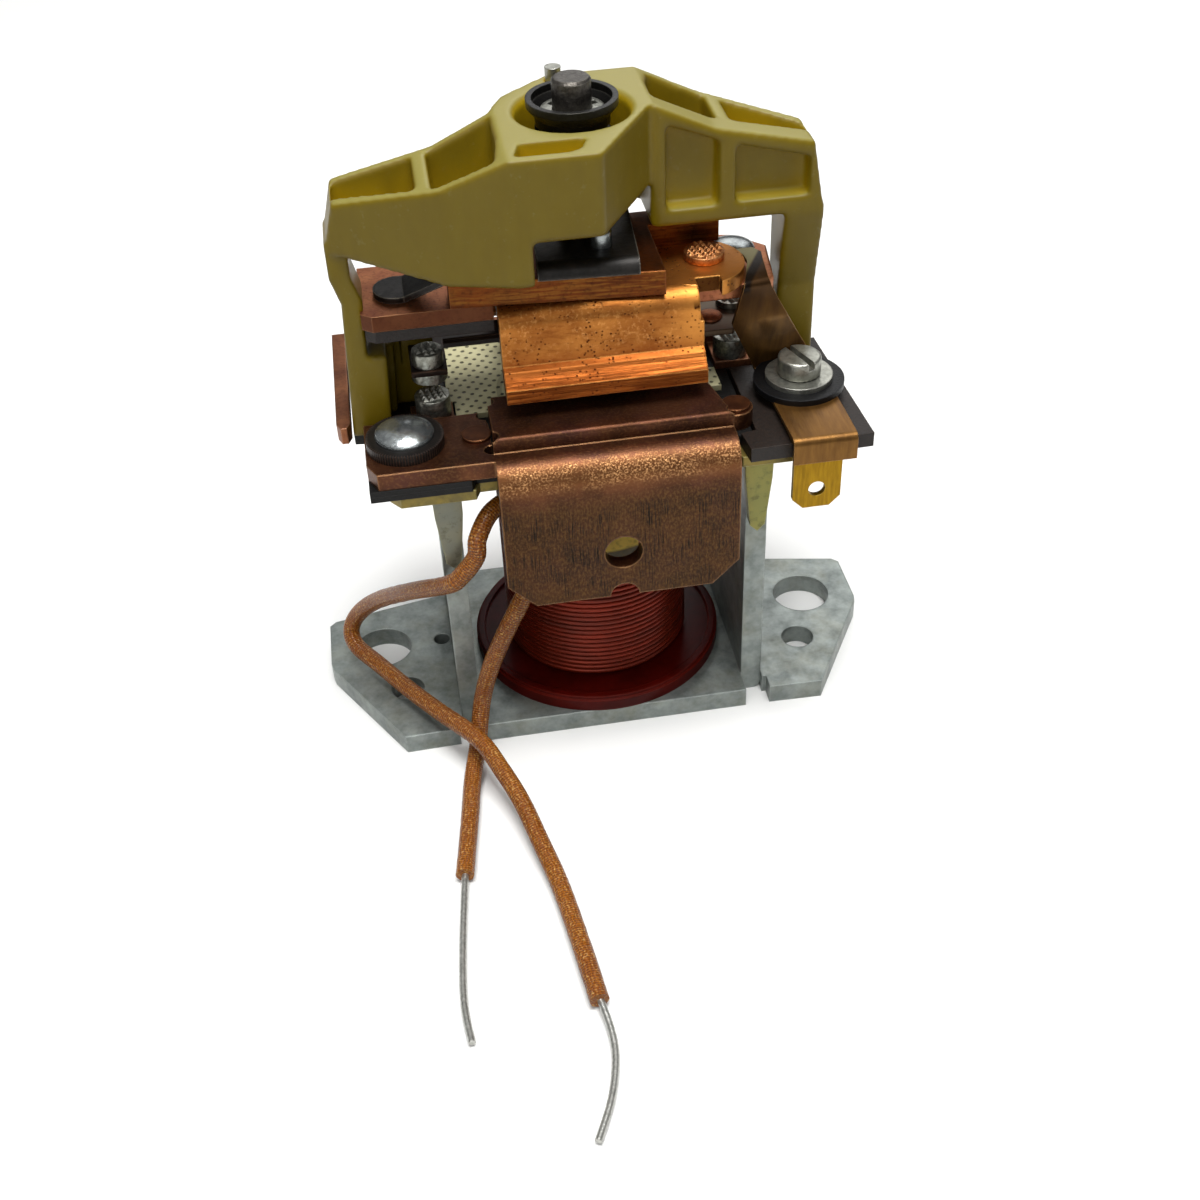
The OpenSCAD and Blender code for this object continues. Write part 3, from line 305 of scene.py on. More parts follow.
finishes = {
    # plated and passivated: cloudy grey spangle with a faint olive cast, a soft sheen, edges painted paler
    # as highlight and wear
    "zinc": {"name": "Zinc plated strip steel", "colour": "#6c7370", "rounding": 0.35, "metal": 0.55,
             "rough": 0.44, "edgeWearAndHighlight": (0.5, "#c9d0cc"), "layers": [
        {"grain": 3.5, "span": (0.36, 0.66), "colour": "#939a96", "rougher": -0.1},
        {"grain": 5, "span": (0.45, 0.7), "amount": 0.35, "colour": "#7d785c"},
        {"grain": 0.7, "detail": 6.0, "span": (0.3, 0.75), "amount": 0.3, "colour": "#adb4b0",
         "raise": 0.02}]},
    # headed in one blow and plated: smoother and brighter than the strip
    "rivetZinc": {"name": "Zinc plated rivet", "colour": "#84898a", "rounding": 0.35, "metal": 0.9,
                  "rough": 0.2, "layers": [
        {"grain": 1.6, "span": (0.36, 0.66), "colour": "#a4a9a9", "rougher": 0.06},
        {"grain": 0.4, "span": (0.4, 0.7), "amount": 0.3, "colour": "#b8bebc", "raise": 0.02}]},
    # glass filled resin, moulded: olive yellow, a painted amber glow of light through the resin in
    # sheltered hollows, painted shade in sheltered places lower down, a painted top light on upward faces,
    # and a painted highlight with wear on its rims
    "resin": {"name": "Moulded olive resin", "colour": "#75620a", "rounding": 0.3, "metal": 0.0,
              "rough": 0.4, "reach": 7.0, "shine": 0.3, "through": 0.1, "depth": 0.5,
              "reds": (1.0, 0.8, 0.25), "edgeWearAndHighlight": (0.3, "#a39a4c"), "layers": [
        {"grain": 9, "span": (0.35, 0.7), "amount": 0.4, "colour": "#7f6e1c"},
        {"grain": (1.6, 1.6, 4.8), "span": (0.35, 0.75), "amount": 0.2, "colour": "#5c4c08", "raise": 0.03},
        # painted light: upward faces high on the arch paler
        {"amount": 0.75, "where": {"up": (0.55, 0.95), "z": (60, 68)}, "colour": "#8b8446"},
        # painted light: an amber glow where light comes through the resin in sheltered hollows
        {"amount": 0.9, "where": {"open": (0.7, 0.2), "z": (60, 66)}, "colour": "#c0a010"},
        # painted shade: sheltered places lower down darker
        {"amount": 0.6, "where": {"open": (0.75, 0.4), "z": (60, 56)}, "colour": "#5a4a06"},
        {"grain": 1.1, "detail": 6.0, "span": (0.62, 0.72), "amount": 0.12,
         "colour": "#a8a37c"}]},
    # pressed copper browned by heat: purple bloom, a painted highlight and painted glints on the fold, file
    # marks down the tab
    "terminal": {"name": "Pressed oxidised copper", "colour": "#5c3722", "rounding": 0.35, "metal": 0.85,
                 "rough": 0.4, "edgeWearAndHighlight": (0.6, "#cc9868"), "layers": [
        {"grain": 5, "span": (0.38, 0.66), "colour": "#3f2415"},
        {"grain": 8, "span": (0.48, 0.66), "amount": 0.35, "colour": "#47292d"},
        {"grain": 0.35, "detail": 3.0, "span": (0.52, 0.6), "amount": 0.2,
         "colour": "#8a6038", "raise": 0.04},
        # painted highlight: the fold paler where it turns up to the light
        {"amount": 0.5, "where": {"far": (19.2, 20.2), "z": (42.6, 45.0)}, "colour": "#80522c"},
        # painted glints: fine golden sparkles along the fold
        {"grain": 0.24, "detail": 6.0, "span": (0.48, 0.72), "patches": (2.5, 0.3, 0.6),
         "where": {"far": (19.0, 20.0), "z": (43.4, 45.2)}, "colour": "#ffc080", "raise": 0.03},
        {"amount": 0.6, "where": {"far": (20.6, 20.9), "z": (43.0, 40.5)}, "colour": "#2c1f0e"},
        {"grain": (0.3, 0.3, 0.6), "detail": 6.0, "span": (0.45, 0.75), "amount": 0.4,
         "where": {"far": (20.6, 20.9), "z": (43.2, 41.5)},
         "colour": "#8a6434"},
        {"grain": (0.12, 0.5, 4.5), "detail": 3.0, "span": (0.5, 0.6), "amount": 0.95,
         "patches": (3.5, 0.42, 0.58),
         "where": {"far": (20.6, 20.9), "z": (41.6, 40.6)}, "colour": "#0c0804", "raise": -0.03}]},
    # the same copper where no arc reaches: flatter and lighter brown
    "rearTerminal": {"name": "Rolled brown copper", "colour": "#95603f", "rounding": 0.35, "metal": 0.85,
                     "rough": 0.42, "edgeWearAndHighlight": (0.6, "#d0a080"), "layers": [
        {"grain": 4.5, "span": (0.35, 0.68), "colour": "#6a3e2a"},
        {"grain": 0.4, "span": (0.5, 0.72), "amount": 0.4, "colour": "#2a120a", "raise": 0.02}]},
    # bright rolled copper, arced: dark pits on the flats, redder lips with drawn lines, a lobe painted
    # lighter against the shade on it, painted shade low on the lobe's front wall, a painted highlight on
    # the rounded edges
    "bridge": {"name": "Arced bright copper", "colour": "#ac6e33", "rounding": 0.3, "metal": 1.0,
               "rough": 0.4, "edgeWearAndHighlight": (0.7, "#f0b060"), "layers": [
        {"grain": 3, "span": (0.35, 0.7), "colour": "#8c5224", "rougher": 0.08},
        {"grain": (2.4, 0.6, 0.6), "detail": 6.0, "span": (0.5, 0.68), "amount": 0.5, "colour": "#6c3612",
         "raise": 0.02},
        {"grain": 0.4, "span": (0.52, 0.66), "amount": 0.5, "patches": (4.0, 0.4, 0.6),
         "colour": "#d89a58"},
        # painted light: the lobe kept lighter, against the shade that falls on it
        {"amount": 0.8, "where": {"x": (9, 12.5)}, "colour": "#cc8840"},
        {"amount": 0.8, "where": {"z": (57.5, 54.5)}, "colour": "#8f4a1e"},
        # painted shade: a dark band on the front wall of the lobe
        {"amount": 0.9, "where": {"x": (12.6, 12.8), (-1, 0, 0): (-16.9, -16.6), "y": (-5.4, -5.6),
                                  "up": (0.5, 0.2), "z": (60.6, 60.9)},
         "colour": "#2a1208"},
        {"pattern": arcPits, "grain": 2.2, "span": (0.47, 0.55), "amount": 0.85,
         "colour": "#3c1408", "raise": -0.04},
        {"grain": (9, 0.35, 0.3), "detail": 3.0, "span": (0.42, 0.6), "amount": 0.75,
         "where": {"z": (55.2, 54.0)},
         "colour": "#4c220a", "raise": 0.05}]},
    # rolled light copper arms with a pink cast; the left arm's sides darker, as painted shade and heat
    # blackening
    "salmon": {"name": "Rolled light copper", "colour": "#b87850", "rounding": 0.2, "metal": 0.9,
               "rough": 0.45, "edgeWearAndHighlight": (0.6, "#d09a70"), "layers": [
        {"grain": 4.5, "span": (0.35, 0.68), "colour": "#94583e"},
        {"grain": 0.5, "span": (0.5, 0.72), "amount": 0.5, "colour": "#2a120a", "raise": 0.02},
        # painted shade and heat blackening: the left arm's sides and underside darker than its top
        {"amount": 0.85, "where": {"up": (0.6, 0.2), "x": (-8, -9)}, "colour": "#3c1e0e"}]},
    # copper reddened by heat, with brown gold drag marks along the bar
    "red": {"name": "Heat reddened copper", "colour": "#66330f", "rounding": 0.35, "metal": 0.9,
            "rough": 0.4, "edgeWearAndHighlight": (0.6, "#b06c3c"), "layers": [
        {"grain": 4.5, "span": (0.35, 0.68), "colour": "#46210c"},
        {"grain": (5, 5, 0.3), "detail": 3.0, "span": (0.45, 0.62), "amount": 0.5,
         "where": {"up": (0.7, 0.2)}, "colour": "#8a5a22"},
        {"grain": 0.5, "span": (0.5, 0.72), "amount": 0.5, "colour": "#200c04", "raise": 0.02}]},
    # flush rivet heads in oxidised copper: a dull brown, rims painted lighter as highlight and wear
    "leaf": {"name": "Oxidised copper head", "colour": "#6a4026", "rounding": 0.3, "metal": 0.9,
             "rough": 0.42, "edgeWearAndHighlight": (0.6, "#b07850"), "layers": [
        {"grain": 2, "span": (0.35, 0.68), "colour": "#4a2a1a"}]},
    # copper leaf nearly black, as heat blackening and painted shade, with its right end painted paler as
    # the lit part
    "blackenedAndShadedLeaf": {"name": "Blackened and shaded copper leaf", "colour": "#241810", "rounding": 0.3, "metal": 0.8,
                 "rough": 0.4, "edgeWearAndHighlight": (0.6, "#6a4a32"), "layers": [
        {"grain": 3, "span": (0.35, 0.68), "colour": "#140e0a"},
        # painted light: the right end, out in the open, paler than the shaded rest
        {"amount": 0.85, "where": {"x": (11, 13)}, "colour": "#5e4e3c"}]},
    # enamelled copper wire: glossy red amber, the light runs along each turn
    "wire": {"name": "Enamelled copper wire", "colour": "#842408", "rounding": 0.05, "metal": 0.55,
             "rough": 0.38, "layers": [
        {"grain": (9, 9, 1.5), "span": (0.35, 0.7), "colour": "#5c1a06"}]},
    # moulded dark red resin with a soft gloss and a painted highlight on its rims
    "bobbin": {"name": "Moulded dark red resin", "colour": "#4e0803", "rounding": 0.4, "metal": 0.0,
               "rough": 0.4, "shine": 0.1, "through": 0.1, "depth": 0.8, "reds": (1.0, 0.2, 0.1),
               "edgeWearAndHighlight": (0.5, "#8a2a1a"), "layers": [
        {"grain": 5, "span": (0.35, 0.7), "colour": "#380401"}]},
    # pressed insulating sheet: rows of small dark holes, one pressed ring, and painted shade where it is
    # sheltered
    "cream": {"name": "Pierced cream sheet", "colour": "#cfc99e", "rounding": 0.2, "metal": 0.0,
              "rough": 0.6, "layers": [
        {"grain": 2.5, "span": (0.4, 0.7), "amount": 0.45, "colour": "#98916a"},
        {"pattern": pressedRing, "amount": 0.4, "colour": "#7c7658", "raise": -0.12},
        # painted shade: darker where the sheet is sheltered
        {"amount": 0.7, "where": {"open": (0.75, 0.35)}, "colour": "#4c4632"},
        {"pattern": piercedHoles, "grain": 0.5, "span": (0.25, 0.45), "amount": 0.85,
         "colour": "#1a170f", "raise": -0.15}]},
    # zinc plate with a yellow passivation: straw tints, worn grey at the left, blotched
    "passivated": {"name": "Yellow passivated steel", "colour": "#8a7836", "rounding": 0.3, "metal": 0.5,
                   "rough": 0.42, "edgeWearAndHighlight": (0.6, "#c8c58c"), "layers": [
        {"grain": 3, "span": (0.4, 0.62), "colour": "#6c6034"},
        {"amount": 0.75, "where": {"z": (41.9, 40.8), "x": (-14, -20)}, "colour": "#7b8078"},
        {"amount": 0.7, "where": {"z": (41.9, 40.8), "x": (14, 20)}, "colour": "#90904e"},
        {"grain": 1.2, "span": (0.55, 0.68), "amount": 0.5, "colour": "#46432c", "raise": 0.02}]},
    # varnished glass braid: saturated amber yarn with pale flecks on the yarn crossings, part pale glass
    # yarn and part painted highlight
    "braid": {"name": "Varnished glass braid", "colour": "#663204", "rounding": 0.05, "metal": 0.0,
              "rough": 0.42, "shine": 0.3, "coat": 0.2, "layers": [
        {"pattern": crossedYarns, "colour": "#a05c08", "raise": 0.12},
        {"grain": 6, "span": (0.4, 0.62), "amount": 0.45, "colour": "#6c3004"},
        # pale flecks on the yarn crossings: pale glass yarn and painted highlight
        {"pattern": crossedYarns, "grain": 0.32, "span": (0.52, 0.66), "amount": 0.65,
         "colour": "#e8bc70"}]},
    # blackened lock washer: fine teeth round its rim, brown where they have rubbed
    "serrated": {"name": "Blackened serrated washer", "colour": "#1e1916", "rounding": 0.15, "metal": 0.5,
                 "rough": 0.46, "layers": [
        {"grain": 0.5, "span": (0.4, 0.65), "colour": "#110e0c"},
        {"pattern": radialTeeth, "grain": 0.4, "span": (0.3, 0.6), "amount": 0.6,
         "colour": "#5a4030", "raise": 0.12}]},
    # laminated paper resin, sawn: dark brown with a lighter cut edge
    "laminate": {"name": "Sawn brown laminate", "colour": "#221812", "rounding": 0.2, "metal": 0.0,
                 "rough": 0.5, "edgeWearAndHighlight": (0.6, "#4a3a2e"), "layers": [
        {"grain": 0.5, "span": (0.35, 0.68), "colour": "#16100c", "raise": 0.02}]},
    # pressed insulating sheet, black and dull
    "sheet": {"name": "Pressed black insulating sheet", "colour": "#0d0c0a", "rounding": 0.15, "metal": 0.0,
              "rough": 0.55, "shine": 0.25, "edgeWearAndHighlight": (0.5, "#2c2a28"), "layers": [
        {"grain": 0.4, "span": (0.35, 0.68), "colour": "#070606", "raise": 0.03}]},
    # punched fibre, black with a blue cast on its edge
    "fibre": {"name": "Punched black fibre", "colour": "#0c0c0e", "rounding": 0.25, "metal": 0.0,
              "rough": 0.45, "shine": 0.25, "edgeWearAndHighlight": (0.35, "#42444a"), "layers": [
        {"grain": 0.4, "span": (0.35, 0.68), "colour": "#080808", "raise": 0.02}]},
    # silver faced contact, knurled: pale grey with darker grain
    "contact": {"name": "Knurled contact metal", "colour": "#b4b4aa", "rounding": 0.12, "metal": 0.9,
                "rough": 0.32, "edgeWearAndHighlight": (0.7, "#c8c8bc"), "layers": [
        {"grain": 0.5, "span": (0.35, 0.68), "colour": "#74746a", "raise": 0.03}]},
    # the lobe's copper rivet: the same points, with a painted highlight on them
    "copperKnurl": {"name": "Knurled copper rivet", "colour": "#d8965a", "rounding": 0.12, "metal": 0.9,
                    "rough": 0.35, "edgeWearAndHighlight": (0.7, "#ffd0a0"), "layers": [
        {"grain": 0.5, "span": (0.35, 0.68), "colour": "#a05a2c", "raise": 0.03}]},
    # rolled brass strip: drawn lines along the blade
    "brass": {"name": "Rolled brass strip", "colour": "#9c7714", "rounding": 0.2, "metal": 0.85,
              "rough": 0.36, "edgeWearAndHighlight": (0.7, "#dcb85c"), "layers": [
        {"grain": (0.4, 0.4, 3.2), "span": (0.35, 0.68), "colour": "#7e5e0c", "raise": 0.015}]},
    # spring bronze: golden brown, painted shade high up on its rise, grey olive on the flat over the arm,
    # and a painted shadow along the fold
    "bronze": {"name": "Rolled spring bronze", "colour": "#7c5728", "rounding": 0.15, "metal": 0.8,
               "rough": 0.38, "edgeWearAndHighlight": (0.7, "#c8965a"), "layers": [
        {"grain": (1.2, 7, 7), "span": (0.35, 0.68), "colour": "#5e3f1c", "raise": 0.015},
        # painted shade: the upper rise, under the disc, darker
        {"amount": 0.85, "where": {"z": (56, 60.5)}, "colour": "#33200e"},
        {"amount": 0.9, "where": {"z": (61.6, 61.9), (-0.885, 0.465, 0): (-20.55, -20.15)},
         "colour": "#78714a"},
        # painted shadow: a dark band along the fold between the rise and the flat
        {"amount": 0.9, "where": {"z": (60.8, 61.4), (-0.885, 0.465, 0): (-21.7, -21.4),
                                  (0.885, -0.465, 0): (20.3, 20.6)}, "colour": "#120b06"}]},
    # turned and plated: a clean soft shine
    "steel": {"name": "Turned bright steel", "colour": "#a6a69c", "rounding": 0.2, "metal": 0.85,
              "rough": 0.32, "edgeWearAndHighlight": (0.6, "#d0d0c8"), "layers": [
        {"grain": 0.7, "span": (0.35, 0.68), "colour": "#82827a", "raise": 0.02}]},
    # ground and oiled: dark grey with a soft shine
    "pin": {"name": "Ground oiled steel", "colour": "#5c5852", "rounding": 0.3, "metal": 0.85,
            "rough": 0.34, "edgeWearAndHighlight": (0.6, "#b0aca0"), "layers": [
        {"grain": 0.5, "span": (0.35, 0.68), "colour": "#403c38", "raise": 0.03}]},
    # heat blackened steel of the cup and the spring: nearly black with a soft shine
    "black": {"name": "Blackened spring steel", "colour": "#1e1d1a", "rounding": 0.2, "metal": 0.6,
              "rough": 0.36, "edgeWearAndHighlight": (0.6, "#5c5a52"), "layers": [
        {"grain": 0.5, "span": (0.35, 0.68), "colour": "#121110", "raise": 0.02}]},
    # heat blackened sheet: nearly black, with a painted highlight along its cut edge
    "clamp": {"name": "Blackened sheet steel", "colour": "#262320", "rounding": 0.3, "metal": 0.6,
              "rough": 0.42, "edgeWearAndHighlight": (0.8, "#b8b2a6"), "layers": [
        {"grain": 1.4, "span": (0.35, 0.68), "colour": "#171512", "raise": 0.03}]},
    # turned iron of the core and the plunger: a dull grey
    "iron": {"name": "Turned soft iron", "colour": "#7c7c78", "rounding": 0.15, "metal": 0.8,
             "rough": 0.4, "layers": [
        {"grain": 0.5, "span": (0.35, 0.68), "colour": "#5c5c58", "raise": 0.02}]},
    # varnished inner turns, only seen between the outer ones
    "drum": {"name": "Varnished inner turns", "colour": "#3e0c04", "rounding": 0.15, "metal": 0.1,
             "rough": 0.5, "layers": [
        {"grain": 0.6, "span": (0.35, 0.68), "colour": "#2a0602", "raise": 0.02}]},
    # drawn copper wire dipped in tin: a dull silver
    "tinned": {"name": "Tinned copper wire", "colour": "#c4c4be", "rounding": 0.05, "metal": 0.85,
               "rough": 0.32, "layers": [
        {"grain": 0.5, "span": (0.35, 0.68), "colour": "#9a9a94", "raise": 0.02}]},
    # sawn dark laminate of the arm's insulation and the spacer: nearly black, browner on its edges
    "insulation": {"name": "Dark laminate edge", "colour": "#1c110b", "rounding": 0.15, "metal": 0.0,
                   "rough": 0.5, "edgeWearAndHighlight": (0.6, "#3a261c"), "layers": [
        {"grain": 0.5, "span": (0.35, 0.68), "colour": "#120b07", "raise": 0.03}]},
    # paper tape: yellow above, painted shade in black below, with brown specks
    "tape": {"name": "Specked paper tape with painted shade", "colour": "#e0bc50", "rounding": 0.05, "metal": 0.0,
             "rough": 0.6, "layers": [
        # painted shade: the lower part black
        {"amount": 0.95, "where": {"z": (27.8, 27.4)}, "colour": "#141008"},
        {"grain": 0.7, "span": (0.5, 0.65), "amount": 0.4, "colour": "#5c4818", "raise": 0.02}]},
}
for name in finishes:
    finishes[name] = makeFinish(finishes[name])
dress = {
    "zinc": ["yoke", "ear_left", "ear_right", "terminal_nut"],
    "rivetZinc": ["dome_rivets", "clamp_stud"],
    "resin": ["arch"],
    "terminal": ["front_terminal"],
    "rearTerminal": ["rear_terminal"],
    "bridge": ["contact_blade"],
    "salmon": ["left_arm", "right_arm"],
    "red": ["bridge_bar"],
    "leaf": ["flush_rivets"],
    "blackenedAndShadedLeaf": ["contact_leaf"],
    "wire": ["winding"],
    "bobbin": ["bobbin"],
    "cream": ["cream_sheet"],
    "passivated": ["top_plate"],
    "braid": ["long_lead", "short_lead"],
    "laminate": ["phenolic_plate"],
    "sheet": ["lower_sheet", "upper_sheet"],
    "fibre": ["fibre_washer"],
    "serrated": ["rivet_washers"],
    "contact": ["fixed_contacts", "moving_contacts"],
    "brass": ["blade_terminal"],
    "bronze": ["auxiliary_spring"],
    "steel": ["terminal_screw", "screw_washer", "hub_dowel", "clip"],
    "pin": ["pin"],
    "black": ["cup", "return_spring"],
    "clamp": ["clamp_plate", "pressure_leaf"],
    "iron": ["core", "plunger"],
    "drum": ["winding_core"],
    "tinned": ["long_wire_end", "short_wire_end"],
    "insulation": ["arm_insulation", "bridge_spacer"],
}
for finish, nodeNames in dress.items():
    for nodeName in nodeNames:
        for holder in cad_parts[nodeName].material_slots:
            holder.material = finishes[finish]
print("finishes ready:", len(finishes))


# Shared ways of making pieces

# degrees up to which edges are shaded smooth, and from which corners and folds are rounded off
smooth = {"parts": 40, "wires": 60, "domes": 50}
sharp = {"corners": 35, "folds": 12}


def pickAlone(piece):
    bpy.ops.object.select_all(action="DESELECT")
    piece.select_set(True)
    bpy.context.view_layer.objects.active = piece


# puts a piece's place into its mesh and gives it its name, body and finish
def settle(piece, name, body, finish):
    pickAlone(piece)
    bpy.ops.object.transform_apply(location=True, rotation=True, scale=True)
    piece.name = name
    piece.data.materials.clear()
    piece.data.materials.append(finishes[finish])
    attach(piece, body)
    return piece


def applyModifier(piece, kind, **settings):
    modifier = piece.modifiers.new("step", kind)
    for key, value in settings.items():
        setattr(modifier, key, value)
    pickAlone(piece)
    bpy.ops.object.modifier_apply(modifier=modifier.name)


def faceOutwards(piece, smoothAngle=smooth["parts"]):
    pickAlone(piece)
    bpy.ops.object.mode_set(mode="EDIT")
    bpy.ops.mesh.select_all(action="SELECT")
    bpy.ops.mesh.normals_make_consistent(inside=False)
    bpy.ops.object.mode_set(mode="OBJECT")
    bpy.ops.object.shade_smooth_by_angle(angle=math.radians(smoothAngle))


def softenEdges(piece, width, segments=2):
    applyModifier(piece, "BEVEL", width=width * mm, segments=segments, limit_method="ANGLE",
                  angle_limit=math.radians(sharp["corners"]))
    bpy.ops.object.shade_smooth_by_angle(angle=math.radians(smooth["parts"]))


def joinCopies(pieces):
    bpy.ops.object.select_all(action="DESELECT")
    for piece in pieces:
        piece.select_set(True)
    bpy.context.view_layer.objects.active = pieces[0]
    bpy.ops.object.join()
    return bpy.context.object


def roundBar(centre, radius, low, high, sides=48):
    bpy.ops.object.select_all(action="DESELECT")
    bpy.ops.mesh.primitive_cylinder_add(vertices=sides, radius=radius * mm, depth=(high - low) * mm,
                                        location=Vector((centre[0], centre[1], (low + high) / 2)) * mm)
    return bpy.context.object


def cutAway(piece, cutter):
    applyModifier(piece, "BOOLEAN", operation="DIFFERENCE", solver="EXACT", object=cutter)
    bpy.data.objects.remove(cutter)


# a plate with the given corners between two heights
def flatPlate(corners, low, high):
    bpy.ops.object.select_all(action="DESELECT")
    bpy.ops.mesh.primitive_circle_add(vertices=len(corners), fill_type="NGON")
    plate = bpy.context.object
    for vert, (x, y) in zip(plate.data.vertices, corners):
        vert.co = Vector((x, y, low)) * mm
    bpy.ops.object.mode_set(mode="EDIT")
    bpy.ops.mesh.select_all(action="SELECT")
    bpy.ops.mesh.extrude_region_move(TRANSFORM_OT_translate={"value": (0, 0, (high - low) * mm)})
    bpy.ops.object.mode_set(mode="OBJECT")
    faceOutwards(plate)
    return plate


# a bent sheet through rows of (left point, right point), folded softly where the rows turn
def bentSheet(rows, columns, thickness, fold=0.0):
    bpy.ops.object.select_all(action="DESELECT")
    bpy.ops.mesh.primitive_grid_add(x_subdivisions=columns, y_subdivisions=len(rows) - 1)
    sheet = bpy.context.object
    for index, vert in enumerate(sheet.data.vertices):
        row, column = divmod(index, columns + 1)
        left, right = rows[row]
        vert.co = Vector(left).lerp(Vector(right), column / columns) * mm
    if fold:
        applyModifier(sheet, "BEVEL", width=fold * mm, segments=4, limit_method="ANGLE",
                      angle_limit=math.radians(sharp["folds"]))
    applyModifier(sheet, "SOLIDIFY", thickness=thickness * mm, offset=0)
    faceOutwards(sheet)
    return sheet


# the smooth line of the part's source through its route points, in mm
def throughPoints(points, steps):
    line = []
    for i in range(len(points) - 1):
        a, b = Vector(points[max(i - 1, 0)]), Vector(points[i])
        c, d = Vector(points[i + 1]), Vector(points[min(i + 2, len(points) - 1)])
        for k in range(steps):
            t = k / steps
            bend = (2 * a - 5 * b + 4 * c - d) * t ** 2 + (3 * b - a - 3 * c + d) * t ** 3
            line.append(0.5 * (2 * b + (c - a) * t + bend))
    return line + [Vector(points[-1])]


# a closed round wire along a line in mm; UV "lay" holds turns round it and millimetres / 10 along it
def roundWire(name, line, radius, sides, swell=None):
    verts, faces, uvs = [], [], []
    away = Vector((0.75, 0.5, -0.45))  # a start that neither lead runs along
    runs = [0.0]
    for i in range(1, len(line)):
        runs.append(runs[-1] + (line[i] - line[i - 1]).length)
    for i, point in enumerate(line):
        ahead = (line[min(i + 1, len(line) - 1)] - line[max(i - 1, 0)]).normalized()
        side = ahead.cross(away).normalized()
        away = side.cross(ahead)
        for k in range(sides):
            angle = 2 * math.pi * k / sides
            size = radius * (swell(k / sides, runs[i]) if swell else 1.0)
            verts.append((point + (side * math.cos(angle) + away * math.sin(angle)) * size) * mm)
    for i in range(len(line) - 1):
        for k in range(sides):
            n = (k + 1) % sides
            faces.append((i * sides + k, i * sides + n, (i + 1) * sides + n, (i + 1) * sides + k))
            uvs += [(k / sides, runs[i] / 10), ((k + 1) / sides, runs[i] / 10),
                    ((k + 1) / sides, runs[i + 1] / 10), (k / sides, runs[i + 1] / 10)]
    last = (len(line) - 1) * sides
    faces.append(tuple(reversed(range(sides))))
    faces.append(tuple(last + k for k in range(sides)))
    uvs += [(0, 0)] * (2 * sides)
    mesh = bpy.data.meshes.new(name)
    mesh.from_pydata(verts, [], faces)
    layer = mesh.uv_layers.new(name="lay")
    for loop, uv in zip(layer.data, uvs):
        loop.uv = uv
    piece = bpy.data.objects.new(name, mesh)
    bpy.context.scene.collection.objects.link(piece)
    faceOutwards(piece, smooth["wires"])
    return piece, runs[-1]


# a round wire wound about the upright axis, from a ring of its section
def woundWire(radius, wire, low, angle, rise, steps, iterations=1, sides=8):
    bpy.ops.object.select_all(action="DESELECT")
    bpy.ops.mesh.primitive_circle_add(vertices=sides, radius=wire / 2 * mm)
    piece = bpy.context.object
    bpy.ops.object.mode_set(mode="EDIT")
    bpy.ops.mesh.select_all(action="SELECT")
    bpy.ops.transform.rotate(value=math.pi / 2, orient_axis="X", center_override=(0, 0, 0))
    bpy.ops.transform.translate(value=((radius - wire / 2) * mm, 0, (low + wire / 2) * mm))
    bpy.ops.object.mode_set(mode="OBJECT")
    applyModifier(piece, "SCREW", angle=angle, screw_offset=rise * mm, steps=steps, render_steps=steps,
                  iterations=iterations)
    bpy.ops.object.mode_set(mode="EDIT")
    bpy.ops.mesh.select_all(action="SELECT")
    bpy.ops.mesh.fill_holes(sides=0)
    bpy.ops.object.mode_set(mode="OBJECT")
    faceOutwards(piece, smooth["wires"])
    return piece


# The two leads
leads = {
    "sleeve": 2.5,
    "wire": 0.9,
    "swell": 0.03,
    "steps": {"sleeve": 30, "wire": 12},
    "sides": {"sleeve": 20, "wire": 12},
    "long": [(-8.2, -9, 38), (-11.6, -12.2, 38), (-15, -14.9, 37.5), (-17, -17.2, 35.4), (-17.5, -17.8, 33),
             (-19.7, -17.9, 30.2), (-21.5, -17, 28.4), (-26.7, -10.6, 23), (-31.4, -2.8, 16),
             (-34.6, 1.1, 11), (-36.2, 1.3, 8), (-35.7, -1, 6.5), (-32.7, -4.6, 5.4), (-28.7, -10.6, 5.2),
             (-24.8, -16.5, 5.6), (-20, -23.4, 6), (-17.5, -28.7, 5), (-15.5, -33.9, 3.8),
             (-13.8, -40.5, 2.5), (-12.3, -47, 1.6), (-11.1, -56.1, 1.5), (-10.1, -65.3, 1.5)],
    "short": [(-7.2, -9.8, 35), (-8.6, -13.4, 32), (-10.4, -15.4, 26.5), (-14.7, -16.6, 18.4),
              (-17.1, -17.1, 13.2), (-18.8, -17.6, 7.6), (-20.1, -21.2, 3.2), (-21.5, -26.5, 1.6),
              (-22.6, -33.8, 1.5), (-24.1, -43.1, 1.5)],
    "longEnd": [(-10.2, -64, 1.5), (-9.4, -69, 1), (-9.5, -73, 0.8), (-10.8, -78, 0.8), (-13.1, -83, 0.8)],
    "shortEnd": [(-23.9, -41.8, 1.5), (-25.3, -53, 1), (-26, -61.9, 0.8), (-25.6, -67.9, 0.8)],
}


def braidSwell(turn, run):
    around = yarns["around"] * turn
    along = yarns["per10Mm"] / 10 * run
    weave = math.sin(2 * math.pi * (around + along)) * math.sin(2 * math.pi * (around - along))
    return 1 - leads["swell"] + leads["swell"] * weave


